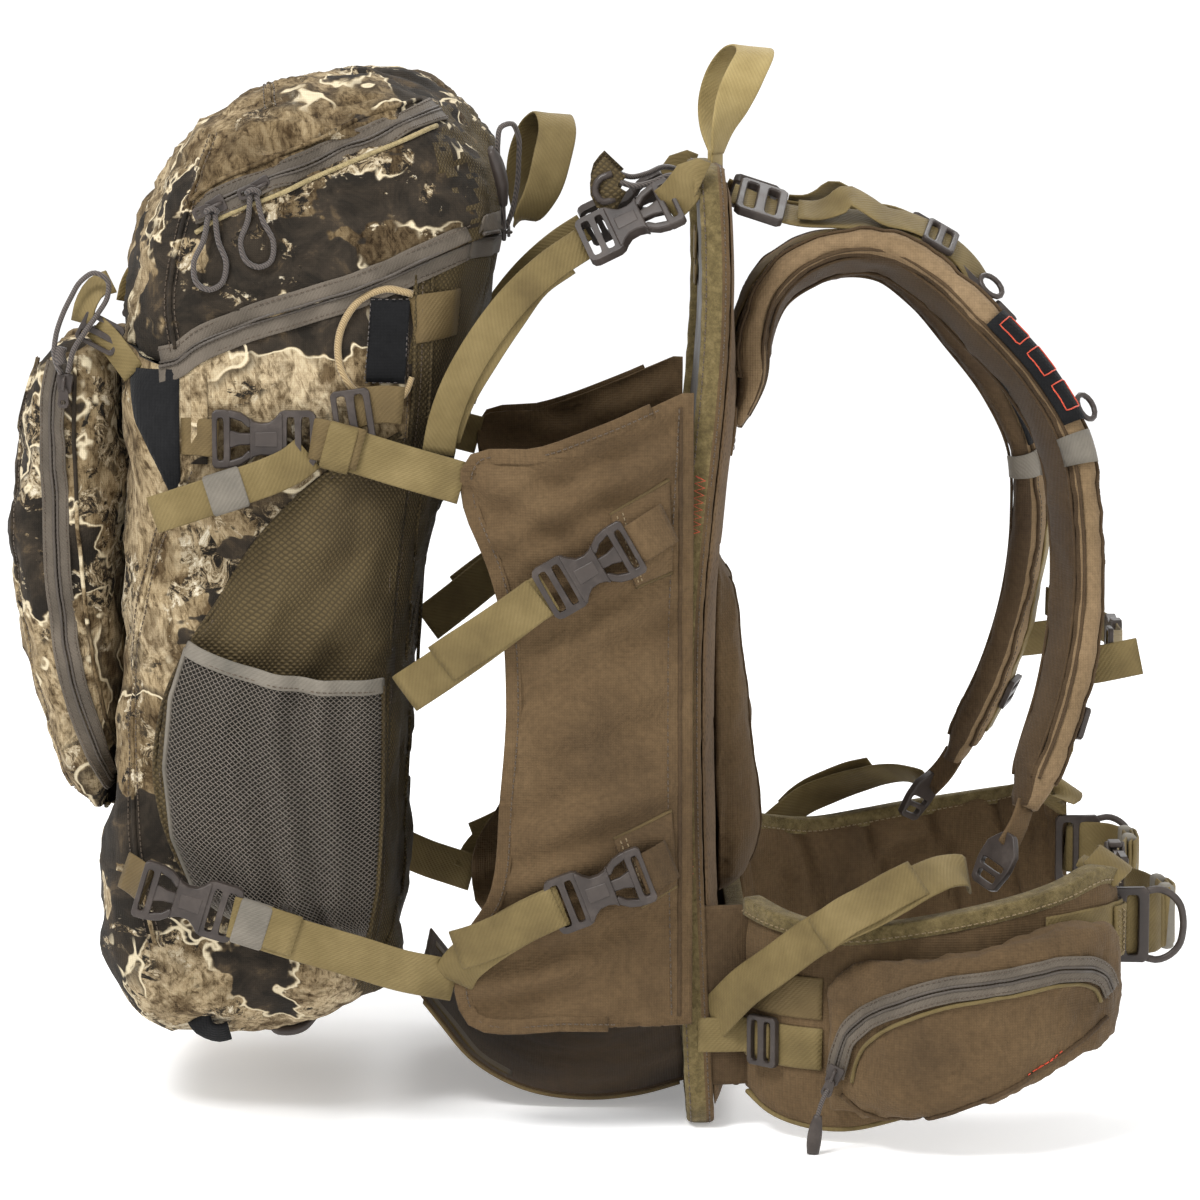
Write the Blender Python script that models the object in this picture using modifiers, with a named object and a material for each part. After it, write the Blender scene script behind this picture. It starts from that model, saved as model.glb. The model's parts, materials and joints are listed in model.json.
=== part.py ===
"""Hunting frame pack: a frame with harness and hip belt, a bag that stands off it, and the load sling between.

+X is the wearer's forward direction, +Y the wearer's left and +Z up. The origin is the middle of the
frame's foot. Shapes are given in millimetres and made in metres.
"""

import math

import bmesh
import bpy
from mathutils import Matrix, Vector

MM = 0.001
GAP = 0.4  # clearance between touching pieces

# Frame
FRAME_HEIGHT = 568.0
FRAME_HALF_WIDTH = 156.0
FRAME_FLAT = (230.0, 270.0)  # the flat stretch at the back of the frame's S curve
FRAME_BACK = -13.0
SHEET_THICKNESS = 3.0
HOOP_RADIUS = 4.0
HOOP_OFFSET = 6.4
PANEL_OFFSET = 15.0
PANEL_CORNER = 24.0
PANEL_THICKNESS = 8.0
BINDING_WIDTH = 16.0
BINDING_OFFSET = 2.0
BINDING_THICKNESS = 5.0

# Webbing
WEB = 25.0
WEB_THICKNESS = 1.8
BELT_WEB = 38.0

# Bag
BAG_CORNER = 5.0  # superellipse power of the bag's cross section
BAG_WALL = 4.0
LID_WALL = 3.5
LID_HINGE = (-344.0, 0.0, 465.0)

# Harness
STRAP_PIVOT = (26.0, 0.0, 445.0)
STRAP_HALF_THICKNESS = 10.0
STRAP_ROLL = math.radians(14.0)
LEFT_STRAP_SWING = math.radians(4.5)  # the left strap hangs a little further back

# Hip belt
BELT_PIVOT_X = 26.0
BELT_PIVOT_Y = 143.0
BUCKLE_X = 262.0
BELT_Z = 118.0

COLOURS = {
    "camo_fabric": ((0.30, 0.25, 0.17), 0.9, 0.0),
    "brown_fabric": ((0.24, 0.18, 0.11), 0.9, 0.0),
    "olive_fabric": ((0.15, 0.13, 0.08), 0.9, 0.0),
    "webbing": ((0.42, 0.34, 0.17), 0.8, 0.0),
    "mesh": ((0.20, 0.18, 0.16), 0.9, 0.0),
    "hardware": ((0.14, 0.11, 0.10), 0.45, 0.0),
    "frame_sheet": ((0.05, 0.05, 0.05), 0.5, 0.0),
    "aluminium": ((0.75, 0.75, 0.77), 0.35, 1.0),
}

SIDES = {"right": -1.0, "left": 1.0}


# Scene, materials and bodies

def clear_scene():
    for obj in list(bpy.data.objects):
        bpy.data.objects.remove(obj)


def new_collection(name):
    made = bpy.data.collections.new(name)
    bpy.context.scene.collection.children.link(made)
    return made


def material(name):
    if name in bpy.data.materials:
        return bpy.data.materials[name]
    colour, roughness, metallic = COLOURS[name]
    made = bpy.data.materials.new(name)
    made.use_nodes = True
    shader = made.node_tree.nodes["Principled BSDF"]
    shader.inputs["Base Color"].default_value = (*colour, 1.0)
    shader.inputs["Roughness"].default_value = roughness
    shader.inputs["Metallic"].default_value = metallic
    return made


def body_empty(name, pivot, parent=None):
    """An empty on a body's joint axis, which the body's pieces are parented to."""
    empty = bpy.data.objects.new("body_" + name, None)
    PACK.objects.link(empty)
    empty.parent = parent
    offset = parent["pivot"] if parent else (0.0, 0.0, 0.0)
    empty.location = [(p - o) * MM for p, o in zip(pivot, offset)]
    empty["pivot"] = pivot
    return empty


def add(obj, body, slot):
    """Puts an object built in the pack's own frame under its body's empty."""
    PACK.objects.link(obj)
    obj.data.transform(Matrix.Translation([-p * MM for p in body["pivot"]]))
    obj.parent = body
    obj.data.materials.append(material(slot))
    if obj.type == "MESH":
        obj.data.shade_smooth()
        obj.data.set_sharp_from_angle(angle=math.radians(35))
    return obj


# Mesh makers

def mesh_object(name, points, faces):
    mesh = bpy.data.meshes.new(name)
    mesh.from_pydata([Vector(p) * MM for p in points], [], faces)
    mesh.update()
    return bpy.data.objects.new(name, mesh)


def thicken(obj, thickness, offset=0.0):
    solid = obj.modifiers.new("wall", "SOLIDIFY")
    solid.thickness = thickness * MM
    solid.offset = offset
    solid.use_even_offset = True
    return obj


def surface(name, rows, thickness, body, slot, offset=0.0, around=False, floor=False):
    """An open grid of points with a wall. around closes each row, and floor closes the first one."""
    width = len(rows[0])
    points = [p for row in rows for p in row]
    faces = []
    for r in range(len(rows) - 1):
        for c in range(width if around else width - 1):
            d = (c + 1) % width
            faces.append((r * width + c, r * width + d, (r + 1) * width + d, (r + 1) * width + c))
    if floor:
        faces.append(tuple(reversed(range(width))))
    return add(thicken(mesh_object(name, points, faces), thickness, offset), body, slot)


def ribbon(name, stations, body, slot, thickness=WEB_THICKNESS, closed=False):
    """Webbing: stations are (centre, half width vector)."""
    rows = []
    for centre, half in stations:
        rows.append([Vector(centre) - Vector(half), Vector(centre) + Vector(half)])
    if closed:
        rows = list(map(list, zip(*rows)))
        return surface(name, rows, thickness, body, slot, around=True)
    return surface(name, rows, thickness, body, slot)


def loft(name, rings, body, slot):
    """A closed solid through rings that hold the same number of points."""
    count = len(rings[0])
    points = [p for ring in rings for p in ring]
    faces = [tuple(reversed(range(count)))]
    for r in range(len(rings) - 1):
        for c in range(count):
            d = (c + 1) % count
            faces.append((r * count + c, r * count + d, (r + 1) * count + d, (r + 1) * count + c))
    last = (len(rings) - 1) * count
    faces.append(tuple(range(last, last + count)))
    obj = mesh_object(name, points, faces)
    shell = bmesh.new()
    shell.from_mesh(obj.data)
    bmesh.ops.recalc_face_normals(shell, faces=shell.faces)
    shell.to_mesh(obj.data)
    shell.free()
    return add(obj, body, slot)


def plate(name, outline, holes, thickness, placed, body, slot):
    """A flat moulded piece: an outline with holes, extruded, then placed by a matrix in millimetres."""
    curve = bpy.data.curves.new(name, "CURVE")
    curve.dimensions = "2D"
    curve.fill_mode = "BOTH"
    curve.extrude = thickness / 2 * MM
    for loop in [outline, *holes]:
        spline = curve.splines.new("POLY")
        spline.points.add(len(loop) - 1)
        for point, (u, v) in zip(spline.points, loop):
            point.co = (u * MM, v * MM, 0.0, 1.0)
        spline.use_cyclic_u = True
    flat = bpy.data.objects.new(name + "_curve", curve)
    bpy.context.scene.collection.objects.link(flat)
    graph = bpy.context.evaluated_depsgraph_get()
    mesh = bpy.data.meshes.new_from_object(flat.evaluated_get(graph))
    bpy.data.objects.remove(flat)
    shell = bmesh.new()
    shell.from_mesh(mesh)
    bmesh.ops.remove_doubles(shell, verts=shell.verts, dist=1e-6)
    bmesh.ops.recalc_face_normals(shell, faces=shell.faces)
    shell.to_mesh(mesh)
    shell.free()
    metres = placed.copy()
    metres.translation = placed.translation * MM
    mesh.transform(metres)
    return add(bpy.data.objects.new(name, mesh), body, slot)


def tube(name, points, radius, body, slot):
    curve = bpy.data.curves.new(name, "CURVE")
    curve.dimensions = "3D"
    curve.bevel_depth = radius * MM
    curve.bevel_resolution = 2
    curve.use_fill_caps = True
    spline = curve.splines.new("POLY")
    spline.points.add(len(points) - 1)
    for point, (x, y, z) in zip(spline.points, points):
        point.co = (x * MM, y * MM, z * MM, 1.0)
    return add(bpy.data.objects.new(name, curve), body, slot)


def box(name, size, centre):
    """A box as a bare object, in millimetres."""
    mesh = bpy.data.meshes.new(name)
    shape = bmesh.new()
    bmesh.ops.create_cube(shape, size=MM)
    bmesh.ops.scale(shape, vec=size, verts=shape.verts)
    bmesh.ops.translate(shape, vec=Vector(centre) * MM, verts=shape.verts)
    shape.to_mesh(mesh)
    shape.free()
    return bpy.data.objects.new(name, mesh)


def cut(obj, name, size, centre, body):
    cutter = add(box(name, size, centre), body, "hardware")
    PACK.objects.unlink(cutter)
    CUTTERS.objects.link(cutter)
    cutter.hide_render = True
    cutter.display_type = "WIRE"
    boolean = obj.modifiers.new(name, "BOOLEAN")
    boolean.operation = "DIFFERENCE"
    boolean.object = cutter


# Curves and sections

def along(table, value):
    """Linear interpolation in a table of (position, value) pairs."""
    for (a, va), (b, vb) in zip(table, table[1:]):
        if value <= b:
            share = min(1.0, max(0.0, (value - a) / (b - a)))
            return va + (vb - va) * share
    return table[-1][1]


def rounded(front, rear, half_width, count=28, power=BAG_CORNER):
    """A boxy ring from a front point (x, z) to a rear point (x, z), half_width to each side."""
    ring = []
    for k in range(count):
        angle = 2 * math.pi * k / count
        c, s = math.cos(angle), math.sin(angle)
        c = math.copysign(abs(c) ** (2 / power), c)
        s = math.copysign(abs(s) ** (2 / power), s)
        x = (front[0] + rear[0]) / 2 + (rear[0] - front[0]) / 2 * c
        z = (front[1] + rear[1]) / 2 + (rear[1] - front[1]) / 2 * c
        ring.append((x, half_width * s, z))
    return ring


def frame_x(z):
    """The frame's S curve: how far forward its middle sheet stands at a height."""
    low, high = FRAME_FLAT
    if z < low:
        return FRAME_BACK + 9.0 * ((low - z) / low) ** 1.5
    if z > high:
        return FRAME_BACK + 8.0 + 8.0 * math.cos(math.pi * (z - 500.0) / (500.0 - high))
    return FRAME_BACK


RIM = [(-344, 466), (-330, 456), (-312, 451), (-300, 459), (-260, 478), (-213, 492), (-124, 529)]


def rim_z(x):
    """Height of the bag's slanting zip line above a point of its outline."""
    return along(RIM, x)


def upright_web(points, side, width=WEB):
    """Stations of a strap on one side, its width square to the path in the XZ plane."""
    stations = []
    for k, (x, y, z) in enumerate(points):
        before, after = points[max(k - 1, 0)], points[min(k + 1, len(points) - 1)]
        d = Vector((after[0] - before[0], 0.0, after[2] - before[2])).normalized()
        stations.append(((x, y * side, z), Vector((-d.z, 0.0, d.x)) * width / 2))
    return stations


# Sewn and rigid parts of the frame

def heights(low, high, count):
    return [low + (high - low) * k / (count - 1) for k in range(count)]


def curved_panel(name, offset, half_width, low, high, thickness, slot):
    """An upright panel with rounded corners that follows the frame's S curve."""
    stations = []
    corner = [0.0, 0.15, 0.5, 1.0]
    lower = [low + PANEL_CORNER * share for share in corner]
    upper = [high - PANEL_CORNER * share for share in reversed(corner)]
    below = heights(lower[-1], FRAME_FLAT[0], 6)
    above = heights(FRAME_FLAT[1], upper[0], 9)
    for z in lower[:-1] + below + above + upper[1:]:
        depth = max(0.0, PANEL_CORNER - min(z - low, high - z))
        half = half_width - PANEL_CORNER + math.sqrt(PANEL_CORNER ** 2 - depth ** 2)
        stations.append(((frame_x(z) + offset, 0, z), (0, half, 0)))
    return ribbon(name, stations, FRAME, slot, thickness)


def rounded_outline(half_width, low, high, radius, steps=5):
    """Points (y, z) round an upright rectangle with rounded corners."""
    corners = [(half_width, high, 0), (-half_width, high, 90), (-half_width, low, 180), (half_width, low, 270)]
    points = []
    for y, z, start in corners:
        cy = y - math.copysign(radius, y)
        cz = z - radius if z == high else z + radius
        for k in range(steps + 1):
            a = math.radians(start + 90 * k / steps)
            points.append((cy + radius * math.cos(a), cz + radius * math.sin(a)))
    return points


def edge_binding():
    half = BINDING_THICKNESS / 2
    outline = rounded_outline(FRAME_HALF_WIDTH, half, FRAME_HEIGHT - half, 24)
    path = []
    for (y, z), (y2, z2) in zip(outline, outline[1:] + outline[:1]):
        steps = 10 if abs(z2 - z) > 100 else 1
        path += [(y + (y2 - y) * k / steps, z + (z2 - z) * k / steps) for k in range(steps)]
    stations = [((frame_x(z) + BINDING_OFFSET, y, z), (BINDING_WIDTH / 2, 0, 0)) for y, z in path]
    return ribbon("edge_binding", stations, FRAME, "webbing", BINDING_THICKNESS, closed=True)


def frame_hoop():
    half_width, low, high, radius = 122.0, 16.0, 548.0, 45.0
    run = [(-half_width, z) for z in heights(low, high - radius, 9)]
    bend = [math.radians(180 - 90 * k / 6) for k in range(1, 7)]
    run += [(-half_width + radius + radius * math.cos(a), high - radius + radius * math.sin(a)) for a in bend]
    other = [(-y, z) for y, z in reversed(run)]
    points = [(frame_x(z) + HOOP_OFFSET, y, z) for y, z in run + other]
    return tube("frame_hoop", points, HOOP_RADIUS, FRAME, "aluminium")


def lumbar_pad():
    rings = []
    profile = [(122, 14, 62), (134, 24, 80), (160, 27, 88), (200, 24, 88), (245, 19, 84), (290, 13, 74), (330, 4, 50)]
    for z, depth, half_width in profile:
        back = frame_x(z) + PANEL_OFFSET + PANEL_THICKNESS / 2 + GAP
        rings.append(rounded((back, z), (back + depth, z), half_width, 20, 3.0))
    return loft("lumbar_pad", rings, FRAME, "brown_fabric")


def belt_back():
    """The middle of the hip belt, behind the lumbar pad's lower edge."""
    rings = []
    for y in (-132, -110, -60, 0, 60, 110, 132):
        back = frame_x(70) + PANEL_OFFSET + PANEL_THICKNESS / 2 + 3.4
        depth = 12 - 3 * (y / 132) ** 2
        low, high = 22, 116
        ring = []
        for k in range(16):
            a = 2 * math.pi * k / 16
            c, s = math.cos(a), math.sin(a)
            x = back + depth / 2 * (1 + math.copysign(abs(c) ** 0.6, c))
            z = (low + high) / 2 + (high - low) / 2 * math.copysign(abs(s) ** 0.4, s)
            ring.append((x, y, z))
        rings.append(ring)
    return loft("belt_back", rings, FRAME, "brown_fabric")


def load_shelf():
    path = [(-11, 16), (-40, 8), (-75, 5), (-110, 12), (-140, 30), (-158, 52), (-172, 70)]
    stations = [((x, 0, z), (0, 95, 0)) for x, z in path]
    return ribbon("load_shelf", stations, FRAME, "olive_fabric", 1.6)


WING_EDGE = [(68, -42), (70, -85), (75, -144), (90, -147), (108, -146), (142, -127), (200, -120),
             (260, -116), (319, -121), (352, -132), (374, -141), (396, -141), (403, -102), (417, -62), (438, -14)]
WING_RIGHT = -8.0


def wing_y(x):
    """How far the sling wing stands out from the centre, bulging over the load."""
    return 163.5 + 13.0 * math.sin(math.pi * min(1.0, (WING_RIGHT - x) / 145.0))


def sling_wing(name, side):
    rows = []
    for z, left in WING_EDGE:
        row = []
        for k in range(9):
            x = left + (WING_RIGHT - left) * k / 8
            row.append((x, side * wing_y(x), z))
        rows.append(row)
    return surface("sling_wing_" + name, rows, 1.6, FRAME, "brown_fabric")


# Buckles and other hardware

BUCKLE_HALF = [(-30, 14), (-27.5, 16.5), (-12, 16.5), (-8, 14.5), (-3, 10.5), (3, 10), (8, 12), (14, 16), (22, 17),
               (29, 17), (30, 15)]


def mirrored(half):
    return half + [(u, -v) for u, v in reversed(half)]


def slot_hole(u0, u1, half):
    return [(u0, -half), (u1, -half), (u1, half), (u0, half)]


FLAT_ON_SIDE = Matrix.Rotation(math.pi / 2, 4, "X")  # a plate's u along X and v along Z
FLAT_IN_FRONT = Matrix.Rotation(math.pi / 2, 4, "Z") @ FLAT_ON_SIDE  # a plate's u along Y and v along Z


def side_release(name, centre, slope, side, body):
    """A closed side-release buckle for 25 mm webbing, flat against the pack's side."""
    holes = [slot_hole(-26.5, -21.8, 13), slot_hole(-17.8, -13.2, 13), [(12, 0), (24, -11), (24, 11)]]
    turn = Matrix.Rotation(-math.radians(slope), 4, "Y") @ FLAT_ON_SIDE
    placed = Matrix.Translation((centre[0], centre[1] * side, centre[2])) @ turn
    return plate(name, mirrored(BUCKLE_HALF), holes, 8.0, placed, body, "hardware")


def arc(cx, cy, radius, start, end, steps):
    angles = [math.radians(start + (end - start) * k / steps) for k in range(steps + 1)]
    return [(cx + radius * math.cos(a), cy + radius * math.sin(a)) for a in angles]


def belt_ladder(name, side, body):
    """Ladder lock with a pull ring at the front end of a belt wing."""
    outline = [(-24, 20), (-21, 23)] + arc(4, 0, 23, 90, -90, 12) + [(-21, -23), (-24, -20)]
    holes = [slot_hole(-18, -9, 19.5), slot_hole(-5, 4, 19.5), arc(6, 0, 17, 62, -62, 8)]
    placed = Matrix.Translation((260, 124 * side, BELT_Z)) @ FLAT_ON_SIDE
    return plate("belt_ladder_" + name, outline, holes, 5.0, placed, body, "hardware")


def strap_adjuster(name, side, body, swing):
    outline = mirrored([(-18, 13), (-15, 16), (8, 16), (13, 12), (18, 8)])
    holes = [slot_hole(-14, -9, 13), slot_hole(-5, 0, 13)]
    turn = Matrix.Rotation(math.radians(-62), 4, "Y") @ FLAT_ON_SIDE
    placed = swing @ Matrix.Translation((172, 146 * side, 161)) @ turn
    return plate("strap_adjuster_" + name, outline, holes, 5.0, placed, body, "hardware")


def belt_buckle():
    """Side-release buckle: the female half on the left of the belt and the male half on the right."""
    female = add(box("belt_buckle_female", (12, 34, 50), (BUCKLE_X, 13, BELT_Z)), BELT["left"], "hardware")
    cut(female, "cavity", (8, 29, 41), (BUCKLE_X, 9.5, BELT_Z), BELT["left"])
    cut(female, "windows", (5.5, 12, 60), (BUCKLE_X, 12, BELT_Z), BELT["left"])
    outline = mirrored([(-30, 20), (-27, 23), (-7, 23), (-4.6, 21), (-4.6, 5), (17, 5)])
    holes = [slot_hole(-26, -20, 19.5), slot_hole(-16, -10, 19.5)]
    placed = Matrix.Translation((BUCKLE_X, 0, BELT_Z)) @ FLAT_IN_FRONT
    plate("belt_buckle_male", outline, holes, 4.0, placed, BELT["right"], "hardware")
    for name, up in (("upper", 1), ("lower", -1)):
        prong = [(-4.2, 13), (-4.2, 18), (5, 18.5), (9, 19.6), (15, 19.6), (19, 15), (17, 13)]
        prong = [(u, v * up) for u, v in prong]
        plate("belt_prong_" + name, prong, [], 4.0, placed, PRONG[name], "hardware")


def zip_slider(name, body, turn=FLAT_ON_SIDE):
    """A zip slider with its pull tab hanging on it, at its body's pivot."""
    outline = [(-4, 6), (4, 6), (5, 0), (3, -6), (3.5, -26), (-3.5, -26), (-3, -6), (-5, 0)]
    return plate(name, outline, [], 3.0, Matrix.Translation(body["pivot"]) @ turn, body, "hardware")


# Straps between the bag, the wings and the frame

def compression_straps(name, side):
    upper = [(-176, 159, 262), (-137, 180, 291), (-96.8, 187, 321.3)]
    ribbon("wing_strap_" + name, upright_web(upper, side), FRAME, "webbing")
    top = [((-156, 152.5, 402), (-10, -3, 3)), ((-150, 153, 430), (-10, -3, 4)), ((-130, 153, 464), (-9, -5, 6)),
           ((-104, 150, 496), (-6, -8, 7)), ((-74, 146, 521), (-5, -9, 8))]
    stations = [((x, y * side, z), (a, b * side, c)) for (x, y, z), (a, b, c) in top]
    ribbon("top_strap_" + name, stations, FRAME, "webbing")


def bag_straps(name, side):
    upper = [(-223.5, 159, 408.5), (-205, 160, 404), (-178, 163, 396), (-144, 167, 387)]
    ribbon("bag_strap_upper_" + name, upright_web(upper, side), BAG, "webbing")
    lower = [(-269, 188, 134), (-240, 189, 123), (-205, 187, 111), (-175, 178, 101), (-150, 170, 94)]
    ribbon("bag_strap_lower_" + name, upright_web(lower, side), BAG, "webbing")


def load_lifter(name, side):
    path = [(22.5, 549), (34, 543.5), (51, 537.8), (85, 535), (117, 531), (141, 522.5), (150, 516.5), (158, 509)]
    stations = [((x, 72 * side, z), (0, WEB / 2, 0)) for x, z in path]
    ribbon("load_lifter_" + name, stations, FRAME, "webbing", 2.4)


def strap_webbing(name, side):
    """From the foot of the frame, outside the hip belt, to the shoulder strap's adjuster."""
    points = [(8, 166, 74), (40, 188, 108), (76, 208, 138), (110, 200, 154), (140, 175, 158), (156, 158, 152)]
    ribbon("strap_webbing_" + name, upright_web(points, side), FRAME, "webbing")


def buckles(name, side):
    side_release("wing_buckle_upper_" + name, (-68.5, 187, 337.5), 30, side, FRAME)
    side_release("wing_buckle_lower_" + name, (-62, 187, 150.5), 21, side, FRAME)
    side_release("top_buckle_" + name, (-46, 146, 535), 26, side, FRAME)
    side_release("bag_buckle_upper_" + name, (-256.5, 159, 411), 180, side, BAG)
    side_release("bag_buckle_lower_" + name, (-301, 187, 144), 163, side, BAG)


def standing_loop(name, base, top, half_span, body):
    """A carrying loop of webbing standing up, its two ends sewn down side by side."""
    stations = []
    for k in range(13):
        a = math.pi * k / 12
        rise = math.sin(a) ** 0.8
        y = -half_span * math.cos(a) * (1 + 0.12 * math.sin(a))
        x = base[0] + (top[0] - base[0]) * rise
        z = base[1] + (top[1] - base[1]) * rise
        stations.append(((x, y, z), (5 + 9 * rise, 0, -2 * rise)))
    return ribbon(name, stations, body, "webbing", 2.0)


# Bag

BAG_RINGS = [
    ((-318, 46), (-228, 52), 95), ((-350, 68), (-192, 76), 130), ((-362, 118), (-188, 118), 145),
    ((-360, 165), (-188, 166), 150), ((-351, 208), (-184, 225), 150), ((-347, 264), (-181, 279), 150),
    ((-345, 324), (-170, 326), 150), ((-344, 383), (-158, 385), 150), ((-344, 420), (-147, 436), 149),
]
LID_RINGS = [
    ((-342, 500), (-124, 552), 146), ((-334, 542), (-133, 584), 143), ((-308, 582), (-152, 607), 126),
    ((-268, 608), (-182, 621), 92), ((-238, 618), (-208, 624), 45),
]


def rim_ring(lift):
    ring = rounded((-344, 0), (-126, 0), 147)
    return [(x, y, rim_z(x) + lift) for x, y, _ in ring]


def bag_shell():
    rows = [rounded(front, rear, half) for front, rear, half in BAG_RINGS] + [rim_ring(0.0)]
    return surface("bag_shell", rows, BAG_WALL, BAG, "camo_fabric", -1.0, around=True, floor=True)


def lid_shell():
    rows = [rim_ring(2 * GAP)] + [rounded(front, rear, half) for front, rear, half in LID_RINGS]
    rows = [list(reversed(row)) for row in reversed(rows)]
    return surface("lid_shell", rows, LID_WALL, LID, "camo_fabric", -1.0, around=True, floor=True)


def front_pocket():
    profile = [(178, -374, 78), (204, -389, 100), (255, -406, 110), (326, -419, 114), (378, -417, 114),
               (415, -408, 113), (448, -396, 110), (460, -388, 98)]
    rings = []
    for z, front, half in profile:
        rear = along([(178, -357.5), (208, -352.5), (264, -348), (324, -346), (383, -345), (460, -345)], z) - 0.6
        rings.append(rounded((front, z), (rear, z), half, 28, 3.6))
    return loft("front_pocket", rings, BAG, "camo_fabric")


def mesh_pocket(name, side):
    """An open-topped pouch on the bag's side: each row runs out from the bag, along and back."""
    profile = [(116, 2), (124, 14), (142, 24), (180, 30), (230, 29), (262, 26), (284, 23)]
    rows = []
    for z, bulge in profile:
        row = []
        for k in range(13):
            a = math.pi * k / 12
            x = -255 - 66 * math.copysign(abs(math.cos(a)) ** 0.6, math.cos(a))
            row.append((x, side * (152.5 + bulge * math.sin(a) ** 0.5), z))
        rows.append(row)
    return surface("mesh_pocket_" + name, rows, 1.6, BAG, "mesh")


# Harness

STRAP_PATH = [
    (35, 62, 436, 24), (36, 61, 468, 30), (44, 60, 492, 33), (60, 60, 506, 33), (84, 60, 515, 33), (110, 62, 514, 33),
    (136, 66, 499, 33), (164, 72, 472, 33), (192, 80, 441, 32), (213, 88, 405, 31), (221, 96, 357, 30),
    (221, 106, 309, 29), (212, 117, 256, 27), (198, 126, 214, 23), (190, 131, 190, 15),
]


def swing(side):
    """The left strap's rest pose: a small turn about the harness pivot."""
    pivot = Matrix.Translation(STRAP_PIVOT)
    return pivot @ Matrix.Rotation(LEFT_STRAP_SWING if side > 0 else 0.0, 4, "Y") @ pivot.inverted()


def strap_pad(name, side):
    rings = []
    turn = swing(side)
    for k, (x, y, z, half) in enumerate(STRAP_PATH):
        before, after = STRAP_PATH[max(k - 1, 0)], STRAP_PATH[min(k + 1, len(STRAP_PATH) - 1)]
        tangent = Vector((after[0] - before[0], (after[1] - before[1]) * side, after[2] - before[2])).normalized()
        across = Vector((0, side, 0)).cross(tangent).normalized().cross(tangent).normalized() * -1
        roll = STRAP_ROLL * min(1.0, k / 3) * side
        across = Matrix.Rotation(roll, 3, tangent) @ across
        out = across.cross(tangent)
        thick = STRAP_HALF_THICKNESS * (0.75 if k in (0, len(STRAP_PATH) - 1) else 1.0)
        ring = []
        for j in range(12):
            a = 2 * math.pi * j / 12
            c, s = math.cos(a), math.sin(a)
            flat = math.copysign(abs(c) ** 0.5, c)
            point = Vector((x, y * side, z)) + across * half * flat + out * thick * s
            ring.append(turn @ point)
        rings.append(ring)
    return loft("strap_pad_" + name, rings, SHOULDER, "brown_fabric")


def sternum_strap():
    points = [(240, -112, 284), (252, -75, 279), (256, -25, 276), (252, 25, 276), (240, 75, 279), (226, 106, 284)]
    stations = [(p, (0, 0, 10)) for p in points]
    ribbon("sternum_strap", stations, SHOULDER, "webbing")


# Hip belt

BELT_PATH = [
    (26, 143, 24, 138, 5), (42, 164, 14, 133, 6.5), (80, 182, 9, 127, 7), (112, 188, 17, 131, 7), (140, 190, 27, 136, 7),
    (176, 184, 42, 143, 7), (206, 171, 54, 150, 7), (230, 151, 65, 157, 6.5), (241, 134, 76, 152, 4),
]


def belt_frame(k):
    """Point, outward normal and edges of the belt at a station, for the left side."""
    x, y, low, high, half = BELT_PATH[k]
    before, after = BELT_PATH[max(k - 1, 0)], BELT_PATH[min(k + 1, len(BELT_PATH) - 1)]
    d = Vector((after[0] - before[0], after[1] - before[1])).normalized()
    return Vector((x, y)), Vector((-d.y, d.x)), low, high, half


def upright_ring(inner, outer, low, high, side, count=16):
    """A rounded upright section between two plan points, low to high."""
    ring = []
    for j in range(count):
        a = 2 * math.pi * j / count
        c = math.copysign(abs(math.cos(a)) ** 0.6, math.cos(a))
        s = math.copysign(abs(math.sin(a)) ** 0.45, math.sin(a))
        p = (inner + outer) / 2 + (outer - inner) / 2 * c
        ring.append((p.x, p.y * side, (low + high) / 2 + (high - low) / 2 * s))
    return ring


def belt_wing(name, side):
    rings = []
    for k in range(len(BELT_PATH)):
        p, n, low, high, half = belt_frame(k)
        rings.append(upright_ring(p - n * half, p + n * half, low, high, side))
    return loft("belt_wing_" + name, rings, BELT[name], "brown_fabric")


POCKET = [(2, 22, 62, 8), (3, 18, 106, 27), (4, 24, 116, 34), (5, 38, 124, 34), (6, 54, 122, 26), (7, 68, 96, 7)]


def belt_pocket(name, side):
    rings = []
    for k, low, high, depth in POCKET:
        p, n, _, _, half = belt_frame(k)
        inner = p + n * (half + 1.2)
        rings.append(upright_ring(inner, inner + n * depth, low, high, side))
    return loft("belt_pocket_" + name, rings, BELT[name], "brown_fabric")


def belt_webbing(name, side):
    path = [(266, 120), (277, 100), (275, 70), (267, 42), (BUCKLE_X, 32)]
    stations = [((x, y * side, BELT_Z), (0, 0, BELT_WEB / 2)) for x, y in path]
    ribbon("belt_webbing_" + name, stations, BELT[name], "webbing")


def build_frame():
    curved_panel("frame_sheet", 0.0, 146, 14, 554, SHEET_THICKNESS, "frame_sheet")
    curved_panel("back_panel", PANEL_OFFSET, 151, 10, 558, PANEL_THICKNESS, "brown_fabric")
    frame_hoop()
    edge_binding()
    lumbar_pad()
    belt_back()
    load_shelf()
    for name, side in SIDES.items():
        sling_wing(name, side)
        compression_straps(name, side)
        load_lifter(name, side)
        strap_webbing(name, side)
        buckles(name, side)
    standing_loop("haul_loop", (8, 572.5), (32, 638), 34, HAUL)


def build_bag():
    bag_shell()
    lid_shell()
    front_pocket()
    for name, side in SIDES.items():
        mesh_pocket(name, side)
        bag_straps(name, side)
    standing_loop("bag_loop", (-112, 528), (-94, 598), 26, BAG_LOOP)
    zip_slider("lid_slider", LID_SLIDER)
    zip_slider("main_slider", MAIN_SLIDER, FLAT_IN_FRONT)
    zip_slider("front_slider", FRONT_SLIDER)


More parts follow.
